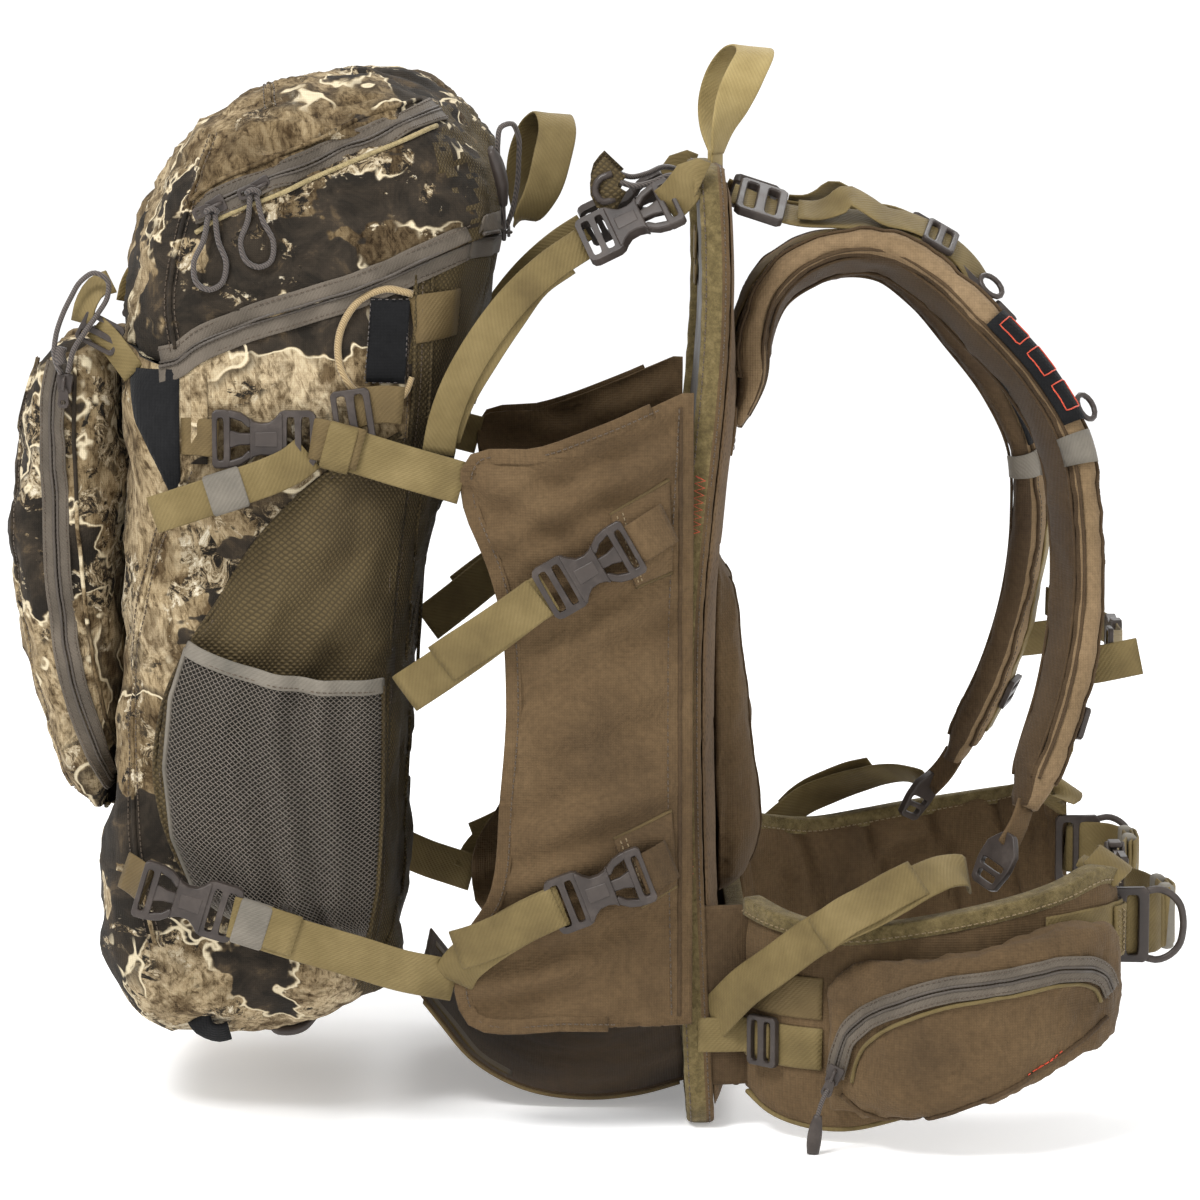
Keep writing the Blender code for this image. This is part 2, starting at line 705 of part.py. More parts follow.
def build_harness():
    for name, side in SIDES.items():
        strap_pad(name, side)
        strap_adjuster(name, side, SHOULDER, swing(side))
        belt_wing(name, side)
        belt_pocket(name, side)
        belt_ladder(name, side, BELT[name])
        belt_webbing(name, side)
        zip_slider("belt_slider_" + name, BELT_SLIDER[name])
    sternum_strap()
    belt_buckle()


clear_scene()
PACK = new_collection("hunting_backpack")
CUTTERS = new_collection("cutters")
FRAME = body_empty("frame", (0.0, 0.0, 0.0))
HAUL = body_empty("haul_loop", (8.0, 0.0, 572.5), FRAME)
BAG = body_empty("bag", (-150.0, 0.0, 300.0), FRAME)
BAG_LOOP = body_empty("bag_loop", (-112.0, 0.0, 528.0), BAG)
LID = body_empty("lid", LID_HINGE, BAG)
LID_SLIDER = body_empty("lid_slider", (-288.0, -148.2, 530.0), LID)
MAIN_SLIDER = body_empty("main_slider", (-121.4, -60.0, 530.0), BAG)
FRONT_SLIDER = body_empty("front_slider", (-375.0, -117.6, 444.0), BAG)
SHOULDER = body_empty("shoulder", STRAP_PIVOT, FRAME)
BELT = {}
BELT_SLIDER = {}
for side_name, sign in SIDES.items():
    BELT[side_name] = body_empty("belt_" + side_name, (BELT_PIVOT_X, BELT_PIVOT_Y * sign, 80.0), FRAME)
    BELT_SLIDER[side_name] = body_empty("belt_slider_" + side_name, (72.0, 203.0 * sign, 46.0), BELT[side_name])
PRONG = {}
for prong_name, up in (("upper", 1.0), ("lower", -1.0)):
    PRONG[prong_name] = body_empty("belt_prong_" + prong_name, (BUCKLE_X, -4.2, BELT_Z + 15.5 * up), BELT["right"])
build_frame()
build_bag()
build_harness()
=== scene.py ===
"""Looks of the hunting backpack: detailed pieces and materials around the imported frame."""
import json
import math

import bmesh
import bpy
import numpy as np
from mathutils import Matrix, Vector, noise
from mathutils.bvhtree import BVHTree
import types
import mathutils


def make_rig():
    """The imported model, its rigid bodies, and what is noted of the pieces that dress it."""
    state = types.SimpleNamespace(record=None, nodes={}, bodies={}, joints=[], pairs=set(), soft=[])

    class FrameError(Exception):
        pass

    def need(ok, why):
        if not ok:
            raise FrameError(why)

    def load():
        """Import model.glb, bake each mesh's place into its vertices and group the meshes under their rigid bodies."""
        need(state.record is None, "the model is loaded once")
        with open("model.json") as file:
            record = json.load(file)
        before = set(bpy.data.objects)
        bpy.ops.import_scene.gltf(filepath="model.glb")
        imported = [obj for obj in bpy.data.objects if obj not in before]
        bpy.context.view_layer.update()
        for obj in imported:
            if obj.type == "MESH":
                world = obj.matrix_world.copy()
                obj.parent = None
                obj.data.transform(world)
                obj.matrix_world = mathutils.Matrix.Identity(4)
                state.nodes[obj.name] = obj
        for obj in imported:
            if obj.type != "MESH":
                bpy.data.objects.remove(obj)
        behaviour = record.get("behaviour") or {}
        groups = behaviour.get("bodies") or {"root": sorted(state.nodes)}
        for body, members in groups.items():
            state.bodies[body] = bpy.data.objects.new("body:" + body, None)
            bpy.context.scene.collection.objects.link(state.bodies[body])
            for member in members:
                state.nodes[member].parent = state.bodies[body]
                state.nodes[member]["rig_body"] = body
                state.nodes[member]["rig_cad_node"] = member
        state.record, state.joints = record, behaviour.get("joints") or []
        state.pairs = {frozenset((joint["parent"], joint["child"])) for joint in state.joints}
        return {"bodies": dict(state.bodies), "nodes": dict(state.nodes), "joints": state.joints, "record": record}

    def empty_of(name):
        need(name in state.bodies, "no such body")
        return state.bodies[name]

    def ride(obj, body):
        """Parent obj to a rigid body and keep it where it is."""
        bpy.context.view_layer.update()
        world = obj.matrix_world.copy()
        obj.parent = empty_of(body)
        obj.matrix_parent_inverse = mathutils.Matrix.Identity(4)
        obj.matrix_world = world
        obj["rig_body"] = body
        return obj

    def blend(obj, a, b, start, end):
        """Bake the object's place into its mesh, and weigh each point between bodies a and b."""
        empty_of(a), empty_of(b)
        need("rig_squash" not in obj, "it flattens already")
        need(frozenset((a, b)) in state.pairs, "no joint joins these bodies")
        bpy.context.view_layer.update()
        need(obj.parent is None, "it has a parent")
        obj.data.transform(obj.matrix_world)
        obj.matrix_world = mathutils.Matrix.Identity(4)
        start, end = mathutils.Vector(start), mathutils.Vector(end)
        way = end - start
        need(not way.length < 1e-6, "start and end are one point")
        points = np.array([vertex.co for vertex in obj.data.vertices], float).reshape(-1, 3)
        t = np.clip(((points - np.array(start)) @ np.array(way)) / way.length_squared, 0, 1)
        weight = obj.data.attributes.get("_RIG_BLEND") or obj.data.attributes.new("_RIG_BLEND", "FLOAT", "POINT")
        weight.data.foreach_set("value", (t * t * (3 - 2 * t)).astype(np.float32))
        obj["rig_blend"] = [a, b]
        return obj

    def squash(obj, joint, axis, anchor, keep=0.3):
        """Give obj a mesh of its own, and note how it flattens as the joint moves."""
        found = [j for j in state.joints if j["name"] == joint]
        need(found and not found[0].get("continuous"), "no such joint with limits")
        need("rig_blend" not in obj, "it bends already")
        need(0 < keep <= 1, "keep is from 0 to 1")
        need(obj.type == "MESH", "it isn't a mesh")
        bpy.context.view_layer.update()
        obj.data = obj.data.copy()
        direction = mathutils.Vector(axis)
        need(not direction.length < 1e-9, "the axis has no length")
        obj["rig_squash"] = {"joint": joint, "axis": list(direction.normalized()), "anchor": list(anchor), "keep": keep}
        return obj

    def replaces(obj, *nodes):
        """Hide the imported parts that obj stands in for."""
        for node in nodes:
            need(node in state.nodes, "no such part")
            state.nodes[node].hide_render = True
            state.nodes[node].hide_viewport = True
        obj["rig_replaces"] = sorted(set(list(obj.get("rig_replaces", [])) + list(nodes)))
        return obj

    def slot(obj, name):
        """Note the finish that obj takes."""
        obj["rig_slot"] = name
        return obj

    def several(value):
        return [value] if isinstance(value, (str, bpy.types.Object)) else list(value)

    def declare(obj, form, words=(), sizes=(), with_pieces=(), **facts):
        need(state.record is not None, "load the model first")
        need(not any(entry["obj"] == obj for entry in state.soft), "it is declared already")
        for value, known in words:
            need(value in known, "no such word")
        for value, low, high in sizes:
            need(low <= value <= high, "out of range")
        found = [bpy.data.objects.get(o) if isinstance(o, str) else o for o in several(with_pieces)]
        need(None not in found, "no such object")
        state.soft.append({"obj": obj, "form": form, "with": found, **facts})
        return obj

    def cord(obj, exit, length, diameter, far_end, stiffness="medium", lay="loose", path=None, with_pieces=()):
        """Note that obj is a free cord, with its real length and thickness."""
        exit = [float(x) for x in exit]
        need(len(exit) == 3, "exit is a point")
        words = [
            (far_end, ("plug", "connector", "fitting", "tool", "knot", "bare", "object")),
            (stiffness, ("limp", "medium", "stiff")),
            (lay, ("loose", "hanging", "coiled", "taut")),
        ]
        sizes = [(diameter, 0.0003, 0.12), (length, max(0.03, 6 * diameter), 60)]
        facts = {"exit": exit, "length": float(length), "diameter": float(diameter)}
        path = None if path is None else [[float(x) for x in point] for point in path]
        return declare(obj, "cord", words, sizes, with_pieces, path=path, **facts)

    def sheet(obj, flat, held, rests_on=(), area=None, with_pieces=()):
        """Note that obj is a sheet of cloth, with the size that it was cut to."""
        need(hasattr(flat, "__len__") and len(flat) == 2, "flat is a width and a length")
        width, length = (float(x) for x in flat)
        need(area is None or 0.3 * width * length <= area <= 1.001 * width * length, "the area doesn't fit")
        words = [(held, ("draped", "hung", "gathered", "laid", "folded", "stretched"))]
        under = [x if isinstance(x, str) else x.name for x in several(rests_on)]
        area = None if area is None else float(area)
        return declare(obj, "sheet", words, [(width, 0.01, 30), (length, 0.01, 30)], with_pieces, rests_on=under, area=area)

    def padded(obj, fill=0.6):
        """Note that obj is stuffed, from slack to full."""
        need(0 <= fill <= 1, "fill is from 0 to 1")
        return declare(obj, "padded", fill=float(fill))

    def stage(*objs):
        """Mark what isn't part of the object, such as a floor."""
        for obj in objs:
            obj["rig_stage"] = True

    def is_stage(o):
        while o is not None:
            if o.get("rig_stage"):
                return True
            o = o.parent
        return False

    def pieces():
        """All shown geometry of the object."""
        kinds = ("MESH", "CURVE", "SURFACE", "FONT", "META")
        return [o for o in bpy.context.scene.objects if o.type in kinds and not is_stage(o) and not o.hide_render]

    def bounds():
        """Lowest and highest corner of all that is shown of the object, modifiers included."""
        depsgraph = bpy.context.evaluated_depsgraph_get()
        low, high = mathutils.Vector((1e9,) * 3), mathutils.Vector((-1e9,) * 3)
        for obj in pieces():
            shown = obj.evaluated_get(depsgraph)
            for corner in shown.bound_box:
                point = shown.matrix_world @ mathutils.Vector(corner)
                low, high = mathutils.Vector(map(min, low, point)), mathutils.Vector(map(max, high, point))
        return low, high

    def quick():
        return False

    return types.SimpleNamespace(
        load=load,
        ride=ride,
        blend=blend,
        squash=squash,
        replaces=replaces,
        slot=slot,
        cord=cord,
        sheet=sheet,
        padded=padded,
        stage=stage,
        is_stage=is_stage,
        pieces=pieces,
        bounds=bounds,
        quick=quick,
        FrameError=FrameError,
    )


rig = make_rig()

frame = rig.load()
CAD_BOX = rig.bounds()
MM = 0.001
WELD = 1e-6  # metres
SIDES = ((-1, "right"), (1, "left"))
SCENE = bpy.context.scene


# ---------------------------------------------------------------- materials
def rgb(red, green, blue):
    """Linear colour with alpha from 0-255 display values."""
    values = [c / 255 for c in (red, green, blue)]
    linear = [c / 12.92 if c <= 0.04045 else ((c + 0.055) / 1.055) ** 2.4 for c in values]
    return (*linear, 1)


class Shade:
    """One procedural material, built node by node."""

    def __init__(self, name, roughness=0.8, sheen=0.0, specular=0.4, metallic=0.0):
        self.material = bpy.data.materials.new(name)
        self.material.use_nodes = True
        self.tree = self.material.node_tree
        self.shader = self.tree.nodes["Principled BSDF"]
        self.shader.inputs["Roughness"].default_value = roughness
        self.shader.inputs["Sheen Weight"].default_value = sheen
        self.shader.inputs["Sheen Roughness"].default_value = 0.5
        self.shader.inputs["Specular IOR Level"].default_value = specular
        self.shader.inputs["Metallic"].default_value = metallic
        self.place = self.add("ShaderNodeTexCoord").outputs

    def add(self, kind, inputs=None, **settings):
        """A node with its inputs and settings."""
        made = self.tree.nodes.new(kind)
        for key, value in settings.items():
            setattr(made, key, value)
        for key, value in (inputs or {}).items():
            self.put(made.inputs[key], value)
        return made

    def put(self, socket, value):
        """A value or a link into an input."""
        if isinstance(value, bpy.types.NodeSocket):
            self.tree.links.new(value, socket)
        else:
            socket.default_value = value

    def noise(self, scale, detail=3, rough=0.55, distort=0.0, at=None):
        """Cloudy noise from 0 to 1."""
        inputs = {"Vector": at or self.place["Object"], "Scale": scale, "Detail": detail,
                  "Roughness": rough, "Distortion": distort}
        return self.add("ShaderNodeTexNoise", inputs).outputs["Fac"]

    def wave(self, period, direction, at=None):
        """Waves of a period in metres."""
        inputs = {"Vector": at or self.place["Object"], "Scale": WAVE_SCALE / period, "Detail Scale": 2.0}
        return self.add("ShaderNodeTexWave", inputs, bands_direction=direction).outputs["Fac"]

    def ribs(self, period, direction):
        """Even ribs square to a direction, from 0 to 1."""
        size = math.tau / period / math.sqrt(2)
        along = self.add("ShaderNodeVectorMath",
                         {0: self.place["Object"], 1: tuple(size * c for c in direction)},
                         operation="DOT_PRODUCT").outputs["Value"]
        return self.math("MULTIPLY", self.math("ADD", self.math("SINE", along), 1.0), 0.5)

    def math(self, operation, first, second=0.5):
        """One step of arithmetic."""
        return self.add("ShaderNodeMath", {0: first, 1: second}, operation=operation).outputs[0]

    def stretch(self, scale, turn=(0, 0, 0), at=None, shift=(0, 0, 0)):
        """Moved, turned or stretched coordinates."""
        inputs = {"Vector": at or self.place["Object"], "Scale": scale, "Rotation": turn, "Location": shift}
        return self.add("ShaderNodeMapping", inputs).outputs[0]

    def ramp(self, value, stops, hard=False):
        """Colours along a value."""
        made = self.add("ShaderNodeValToRGB", {"Fac": value})
        ramp = made.color_ramp
        ramp.interpolation = "CONSTANT" if hard else "LINEAR"
        while len(ramp.elements) < len(stops):
            ramp.elements.new(0.5)
        for element, (position, colour) in zip(ramp.elements, stops):
            element.position = position
            element.color = colour if len(colour) == 4 else (*colour, 1)
        return made.outputs["Color"]

    def blend(self, how, amount, first, second):
        """Two colours mixed in a way."""
        made = self.add("ShaderNodeMix", data_type="RGBA", blend_type=how)
        self.put(made.inputs["Factor"], amount)
        self.put(made.inputs["A"], first)
        self.put(made.inputs["B"], second)
        return made.outputs["Result"]

    def through(self, masks, first, second):
        """The second colour where both masks are white, over the first."""
        return self.blend("MIX", self.blend("MULTIPLY", 1.0, *masks), first, second)

    def finish(self, colour, height=None, depth=0.0004, strength=0.6, rough=None):
        """Joins colour, relief and roughness to the shader; hands the material back."""
        self.put(self.shader.inputs["Base Color"], colour)
        if rough is not None:
            self.put(self.shader.inputs["Roughness"], rough)
        if height is not None:
            bump = self.add("ShaderNodeBump", {"Height": height, "Strength": strength, "Distance": depth})
            self.put(self.shader.inputs["Normal"], bump.outputs[0])
        return self.material


# Scale of the wave texture whose period is one metre.
WAVE_SCALE = 0.314
GREY = {step: (step / 10, step / 10, step / 10, 1) for step in range(11)}


def grid_weave(shade, period):
    """A square weave that shows on a face whichever way it looks."""
    total = shade.math("ADD", shade.wave(period, "X"), shade.wave(period, "Z"))
    return shade.math("MULTIPLY", shade.math("ADD", total, shade.wave(period, "Y")), 0.34)


def cloth_material(name, dark, base, light, period=0.0015, sheen=0.03, weave=0.35, depth=0.0004):
    """Plain woven nylon: blotches of wear, thread colour and a square weave."""
    shade = Shade(name, roughness=0.82, sheen=sheen, specular=0.1)
    blotch = shade.noise(13, 4, 0.6)
    colour = shade.ramp(blotch, [(0.28, dark), (0.5, base), (0.74, light)])
    fine = shade.noise(320, 3, 0.7)
    colour = shade.blend("MULTIPLY", 0.55, colour, shade.ramp(fine, [(0.25, GREY[5]), (0.7, GREY[10])]))
    threads = grid_weave(shade, period)
    tint = shade.ramp(threads, [(0.25, GREY[6]), (0.75, GREY[10])])
    colour = shade.blend("MULTIPLY", weave, colour, tint)
    height = shade.math("ADD", threads, shade.math("MULTIPLY", fine, 0.8))
    rough = shade.ramp(blotch, [(0.3, (0.72, 0.72, 0.72)), (0.7, (0.92, 0.92, 0.92))])
    return shade.finish(colour, height, depth, 0.7, rough)


def ballistic_material(name, dark, base, light, period=0.0026):
    """Coarse diagonal basket weave of the side panels."""
    shade = Shade(name, roughness=0.75, sheen=0.02, specular=0.16)
    one, two = (shade.ribs(period, direction) for direction in ((1, 0.9, 1), (1, 0.7, -1)))
    threads = shade.math("MULTIPLY", one, two)
    blotch = shade.noise(11, 4, 0.6)
    colour = shade.ramp(blotch, [(0.3, dark), (0.52, base), (0.75, light)])
    tint = shade.ramp(threads, [(0.02, GREY[3]), (0.35, GREY[10])])
    colour = shade.blend("MULTIPLY", 0.75, colour, tint)
    fine = shade.noise(500, 2, 0.6)
    height = shade.math("ADD", threads, shade.math("MULTIPLY", fine, 0.3))
    return shade.finish(colour, height, 0.0009, 0.8)


def camo_material(name, shift, dark_share=0.5):
    """Generic woodland print: furry tan ground, flat dark shapes edged in cream, bark flakes."""
    shade = Shade(name, roughness=0.85, sheen=0.02, specular=0.1)
    where = shade.stretch((1, 1, 1), (0.35, 0.2, 0.4), shift=shift)
    ground = shade.noise(7.5, 3, 0.55, 0.3, where)
    colour = shade.ramp(ground, [(0.34, rgb(92, 79, 60)), (0.44, rgb(134, 118, 92)),
                                 (0.54, rgb(172, 156, 128)), (0.68, rgb(196, 182, 156))])
    hair = shade.noise(1.0, 6, 0.72, 0.5, shade.stretch((260, 260, 90), (0.2, 0.5, 0.3), where))
    colour = shade.blend("MULTIPLY", 0.95, colour, shade.ramp(
        hair, [(0.36, rgb(112, 98, 78)), (0.5, rgb(224, 216, 202)), (0.62, rgb(255, 253, 246))]))
    clouds = shade.noise(42, 5, 0.68, 0.6, where)
    colour = shade.blend("MULTIPLY", 0.85, colour, shade.ramp(
        clouds, [(0.38, rgb(116, 101, 80)), (0.54, GREY[10])]))
    shape = shade.noise(9.0, 4.5, 0.58, 0.25, where)
    edge = 1 - dark_share
    near = shade.ramp(shape, [(edge - 0.13, GREY[0]), (edge - 0.06, GREY[10]), (edge + 0.10, GREY[10]),
                              (edge + 0.16, GREY[3])])
    flake = shade.noise(88, 6, 0.74, 1.1, where)
    tone = shade.ramp(flake, [(0.0, rgb(34, 30, 25)), (0.455, rgb(72, 61, 46)), (0.49, rgb(128, 112, 86)),
                              (0.535, rgb(170, 156, 130)), (0.60, rgb(204, 193, 170))], hard=True)
    cluster = shade.noise(17, 6, 0.7, 0.6, where)
    bark = shade.ramp(cluster, [(0.53, GREY[0]), (0.545, GREY[10])])
    colour = shade.through((bark, near), colour, tone)
    flat = shade.ramp(clouds, [(0.40, rgb(36, 32, 27)), (0.58, rgb(54, 47, 39)), (0.7, rgb(84, 71, 54))])
    dark = shade.ramp(shape, [(edge, GREY[0]), (edge + 0.004, GREY[10])])
    open_bark = shade.ramp(cluster, [(0.575, GREY[10]), (0.595, GREY[0])])
    colour = shade.through((dark, open_bark), colour, flat)
    zone = shade.ramp(shade.noise(10, 2, 0.5, 0, where), [(0.45, GREY[0]), (0.49, GREY[10])])
    rim = shade.ramp(shape, [(edge - 0.013, GREY[0]), (edge - 0.010, GREY[10]), (edge - 0.003, GREY[10]),
                             (edge, GREY[0])])
    colour = shade.through((rim, zone), colour, rgb(206, 192, 162))
    line = shade.noise(9.0, 3.2, 0.52, 0.35, shade.stretch((1, 1, 1), at=where, shift=(3.1, 1.7, 0.4)))
    stroke = shade.ramp(line, [(0.494, GREY[0]), (0.4965, GREY[10]), (0.5045, GREY[10]), (0.507, GREY[0])])
    away = shade.ramp(shade.noise(8, 2, 0.5, 0, where), [(0.51, GREY[0]), (0.54, GREY[10])])
    shadow = shade.ramp(line, [(0.507, GREY[0]), (0.511, GREY[8]), (0.55, GREY[0])])
    colour = shade.through((shadow, away), colour, rgb(54, 46, 36))
    colour = shade.through((stroke, away), colour, rgb(206, 192, 162))
    threads = grid_weave(shade, 0.0013)
    fine = shade.noise(420, 2, 0.6)
    colour = shade.blend("MULTIPLY", 0.22, colour, shade.ramp(threads, [(0.3, GREY[5]), (0.7, GREY[10])]))
    height = shade.math("ADD", threads, fine)
    return shade.finish(colour, height, 0.00035, 0.6)


def webbing_material(name, dark, base, light, period=0.0015, sheen=0.03):
    """Twill webbing: ribs across the strap, slanted, on the piece's own U and V in metres."""
    shade = Shade(name, roughness=0.66, sheen=sheen, specular=0.18)
    along = shade.place["UV"]
    ribs = shade.wave(period, "DIAGONAL", along)
    across = shade.wave(period * 0.8, "X", along)
    blotch = shade.noise(24, 4, 0.6)
    colour = shade.ramp(blotch, [(0.3, dark), (0.5, base), (0.72, light)])
    tint = shade.ramp(ribs, [(0.1, GREY[6]), (0.6, GREY[10])])
    colour = shade.blend("MULTIPLY", 0.2, colour, tint)
    fuzz = shade.noise(700, 2, 0.7)
    height = shade.math("ADD", shade.math("ADD", ribs, shade.math("MULTIPLY", across, 0.5)), fuzz)
    return shade.finish(colour, height, 0.00025, 0.5)


def binding_material(name, dark, base, light):
    """Fuzzy grosgrain binding."""
    shade = Shade(name, roughness=0.95, sheen=0.1, specular=0.1)
    fuzz = shade.noise(650, 4, 0.8, 0.5)
    hair = shade.noise(160, 5, 0.7)
    colour = shade.ramp(hair, [(0.3, dark), (0.5, base), (0.7, light)])
    colour = shade.blend("MULTIPLY", 0.6, colour, shade.ramp(fuzz, [(0.3, GREY[4]), (0.65, GREY[10])]))
    return shade.finish(colour, shade.math("ADD", fuzz, hair), 0.0012, 0.9)


def plastic_material(name, dark, base, light, rough=0.38):
    """Moulded acetal: satin skin, faint grain, rubbed edges."""
    shade = Shade(name, roughness=rough, specular=0.32)
    grain = shade.noise(900, 2, 0.5)
    wear = shade.noise(60, 5, 0.7)
    colour = shade.ramp(wear, [(0.3, dark), (0.52, base), (0.75, light)])
    edge = shade.add("ShaderNodeNewGeometry").outputs["Pointiness"]
    rubbed = shade.ramp(edge, [(0.52, GREY[0]), (0.6, GREY[5])])
    colour = shade.blend("MIX", rubbed, colour, light)
    roughness = shade.ramp(wear, [(0.3, (rough - 0.08,) * 3), (0.7, (rough + 0.14,) * 3)])
    return shade.finish(colour, grain, 0.00012, 0.35, roughness)


def metal_material(name):
    """Brushed aluminium tube."""
    shade = Shade(name, roughness=0.35, metallic=1.0)
    brushed = shade.noise(1.0, 4, 0.6, 0, shade.stretch((900, 900, 60)))
    colour = shade.ramp(brushed, [(0.3, rgb(120, 120, 122)), (0.7, rgb(176, 176, 178))])
    rough = shade.ramp(brushed, [(0.3, (0.28, 0.28, 0.28)), (0.7, (0.5, 0.5, 0.5))])
    return shade.finish(colour, brushed, 0.0001, 0.3, rough)


def sheet_material(name):
    """Moulded composite frame sheet with a pebbled skin."""
    shade = Shade(name, roughness=0.55)
    pebble = shade.add("ShaderNodeTexVoronoi", {"Vector": shade.place["Object"], "Scale": 520}).outputs[0]
    wear = shade.noise(22, 5, 0.6)
    colour = shade.ramp(wear, [(0.3, rgb(48, 44, 40)), (0.6, rgb(62, 57, 51)), (0.8, rgb(78, 72, 64))])
    rough = shade.ramp(wear, [(0.3, GREY[4]), (0.7, GREY[7])])
    return shade.finish(colour, pebble, 0.0004, 0.5, rough)


def thread_material(name, colour, light):
    """Sewing thread or cord sheath with a fine twist."""
    shade = Shade(name, roughness=0.6, sheen=0.2)
    twist = shade.wave(0.0009, "DIAGONAL")
    return shade.finish(shade.ramp(twist, [(0.2, colour), (0.8, light)]), twist, 0.0003, 0.6)


def foam_mesh_material(name, dark, base, light):
    """Air mesh on the wearer's side: small round dimples."""
    shade = Shade(name, roughness=0.9, sheen=0.03, specular=0.1)
    holes = shade.add("ShaderNodeTexVoronoi", {"Vector": shade.place["Object"], "Scale": 330}).outputs[0]
    blotch = shade.noise(12, 4)
    colour = shade.ramp(blotch, [(0.3, dark), (0.5, base), (0.7, light)])
    colour = shade.blend("MULTIPLY", 0.7, colour, shade.ramp(holes, [(0.1, GREY[3]), (0.5, GREY[10])]))
    return shade.finish(colour, holes, 0.0008, 0.7)


# Key, function, slot in the record, material name, tones from dark to light, other settings.
FINISHES = [
    ("camo", camo_material, "camo_fabric", "camo", (), {"shift": (0.31, 0.17, 0.42), "dark_share": 0.445}),
    ("camo_lid", camo_material, "camo_fabric", "camo_lid", (),
     {"shift": (0.85, 0.12, 0.23), "dark_share": 0.46}),
    ("camo_low", camo_material, "camo_fabric", "camo_low", (),
     {"shift": (0.11, 0.62, 0.78), "dark_share": 0.44}),
    ("brown", cloth_material, "brown_fabric", "brown_cloth", ((80, 64, 45), (97, 78, 55), (110, 90, 65)),
     {}),
    ("brown_dark", cloth_material, "brown_fabric", "brown_shade",
     ((66, 52, 38), (80, 64, 46), (94, 76, 55)), {}),
    ("tan", cloth_material, "brown_fabric", "tan_face", ((114, 94, 68), (132, 110, 82), (148, 125, 96)),
     {}),
    # This dark cloth is also the sheet behind the side pockets' net, where it is painted shade.
    ("lining", cloth_material, "olive_fabric", "lining", ((40, 38, 34), (52, 49, 44), (64, 60, 54)),
     {"period": 0.002}),
    ("black", cloth_material, "olive_fabric", "black_cloth", ((20, 20, 21), (27, 27, 28), (38, 38, 39)),
     {"period": 0.0018}),
    ("olive", ballistic_material, "olive_fabric", "olive_ballistic",
     ((66, 55, 36), (86, 73, 48), (102, 88, 59)), {}),
    ("webbing", webbing_material, "webbing", "khaki_webbing", ((92, 78, 48), (110, 95, 60), (126, 110, 73)),
     {}),
    ("webbing_light", webbing_material, "webbing", "khaki_loop",
     ((128, 111, 70), (150, 132, 87), (166, 148, 102)), {}),
    ("webbing_dark", webbing_material, "webbing", "brown_webbing",
     ((80, 66, 42), (97, 81, 52), (111, 94, 62)), {}),
    ("tape", webbing_material, "binding", "zip_tape", ((76, 69, 60), (90, 82, 72), (104, 95, 84)),
     {"period": 0.0012}),
    ("grey_band", webbing_material, "binding", "grey_binding",
     ((92, 88, 80), (112, 106, 96), (126, 119, 108)), {"period": 0.0016}),
    ("binding", binding_material, "binding", "khaki_binding", ((88, 76, 48), (112, 98, 64), (136, 120, 82)),
     {}),
    ("piping", binding_material, "binding", "cream_piping",
     ((150, 134, 96), (172, 155, 114), (190, 172, 130)), {}),
    ("plastic", plastic_material, "hardware", "taupe_plastic", ((44, 38, 35), (55, 48, 44), (76, 68, 63)),
     {}),
    ("rubber", plastic_material, "hardware", "grey_rubber",
     ((98, 94, 86), (116, 111, 101), (130, 125, 114)), {"rough": 0.6}),
    ("coil", plastic_material, "hardware", "zip_coil", ((52, 47, 42), (66, 60, 53), (86, 78, 70)),
     {"rough": 0.45}),
    ("metal", metal_material, "aluminium", "brushed_metal", (), {}),
    ("sheet", sheet_material, "frame_sheet", "composite_sheet", (), {}),
    ("thread", thread_material, "binding", "khaki_thread", ((112, 95, 64), (140, 120, 86)), {}),
    ("thread_dark", thread_material, "binding", "brown_thread", ((60, 48, 34), (84, 68, 50)), {}),
    ("thread_red", thread_material, "binding", "red_thread", ((176, 52, 26), (206, 74, 36)), {}),
    ("cord", thread_material, "webbing", "dark_cord", ((50, 44, 41), (88, 79, 73)), {}),
    ("cord_tan", thread_material, "webbing", "tan_cord", ((132, 110, 76), (168, 146, 106)), {}),
    ("net", thread_material, "mesh", "net_yarn", ((86, 78, 69), (118, 108, 96)), {}),
    ("foam", foam_mesh_material, "brown_fabric", "air_mesh", ((78, 62, 44), (94, 75, 54), (108, 88, 64)),
     {}),
]
MATS = {key: material(name, *(rgb(*tone) for tone in tones), **more)
        for key, material, _, name, tones, more in FINISHES}
SLOTS = {row[0]: row[2] for row in FINISHES}


# ---------------------------------------------------------------- geometry tools
def hermite(rows, distance, wanted):
    """Rows of a smooth curve through the given rows, at the wanted distances along it."""
    slope = np.gradient(rows, distance, axis=0)
    index = np.clip(np.searchsorted(distance, wanted, side="right") - 1, 0, len(rows) - 2)
    span = (distance[index + 1] - distance[index])[:, None]
    t = (wanted[:, None] - distance[index][:, None]) / span
    return ((2 * t**3 - 3 * t**2 + 1) * rows[index] + (t**3 - 2 * t**2 + t) * span * slope[index]
            + (3 * t**2 - 2 * t**3) * rows[index + 1] + (t**3 - t**2) * span * slope[index + 1])


def resample(points, count, closed=False):
    """Evenly spaced rows on a smooth curve through the given rows (x, y, z, ...)."""
    rows = np.array(points, float)
    if not closed:
        chord = run(rows)
        return hermite(rows, chord, np.linspace(0, chord[-1], count))
    rows = np.vstack([rows[-2:], rows, rows[:3]])
    chord = run(rows)
    return hermite(rows, chord, np.linspace(chord[2], chord[-3], count, endpoint=False))


def bent(value, exponent):
    """A sine or cosine drawn towards a squarer or rounder curve, its sign kept."""
    return math.copysign(abs(value) ** exponent, value)


def onto(side, points):
    """Points (x, y outward, z, ...) as rows on one side of the pack."""
    rows = np.array(points, float)
    rows[:, 1] *= side
    return rows


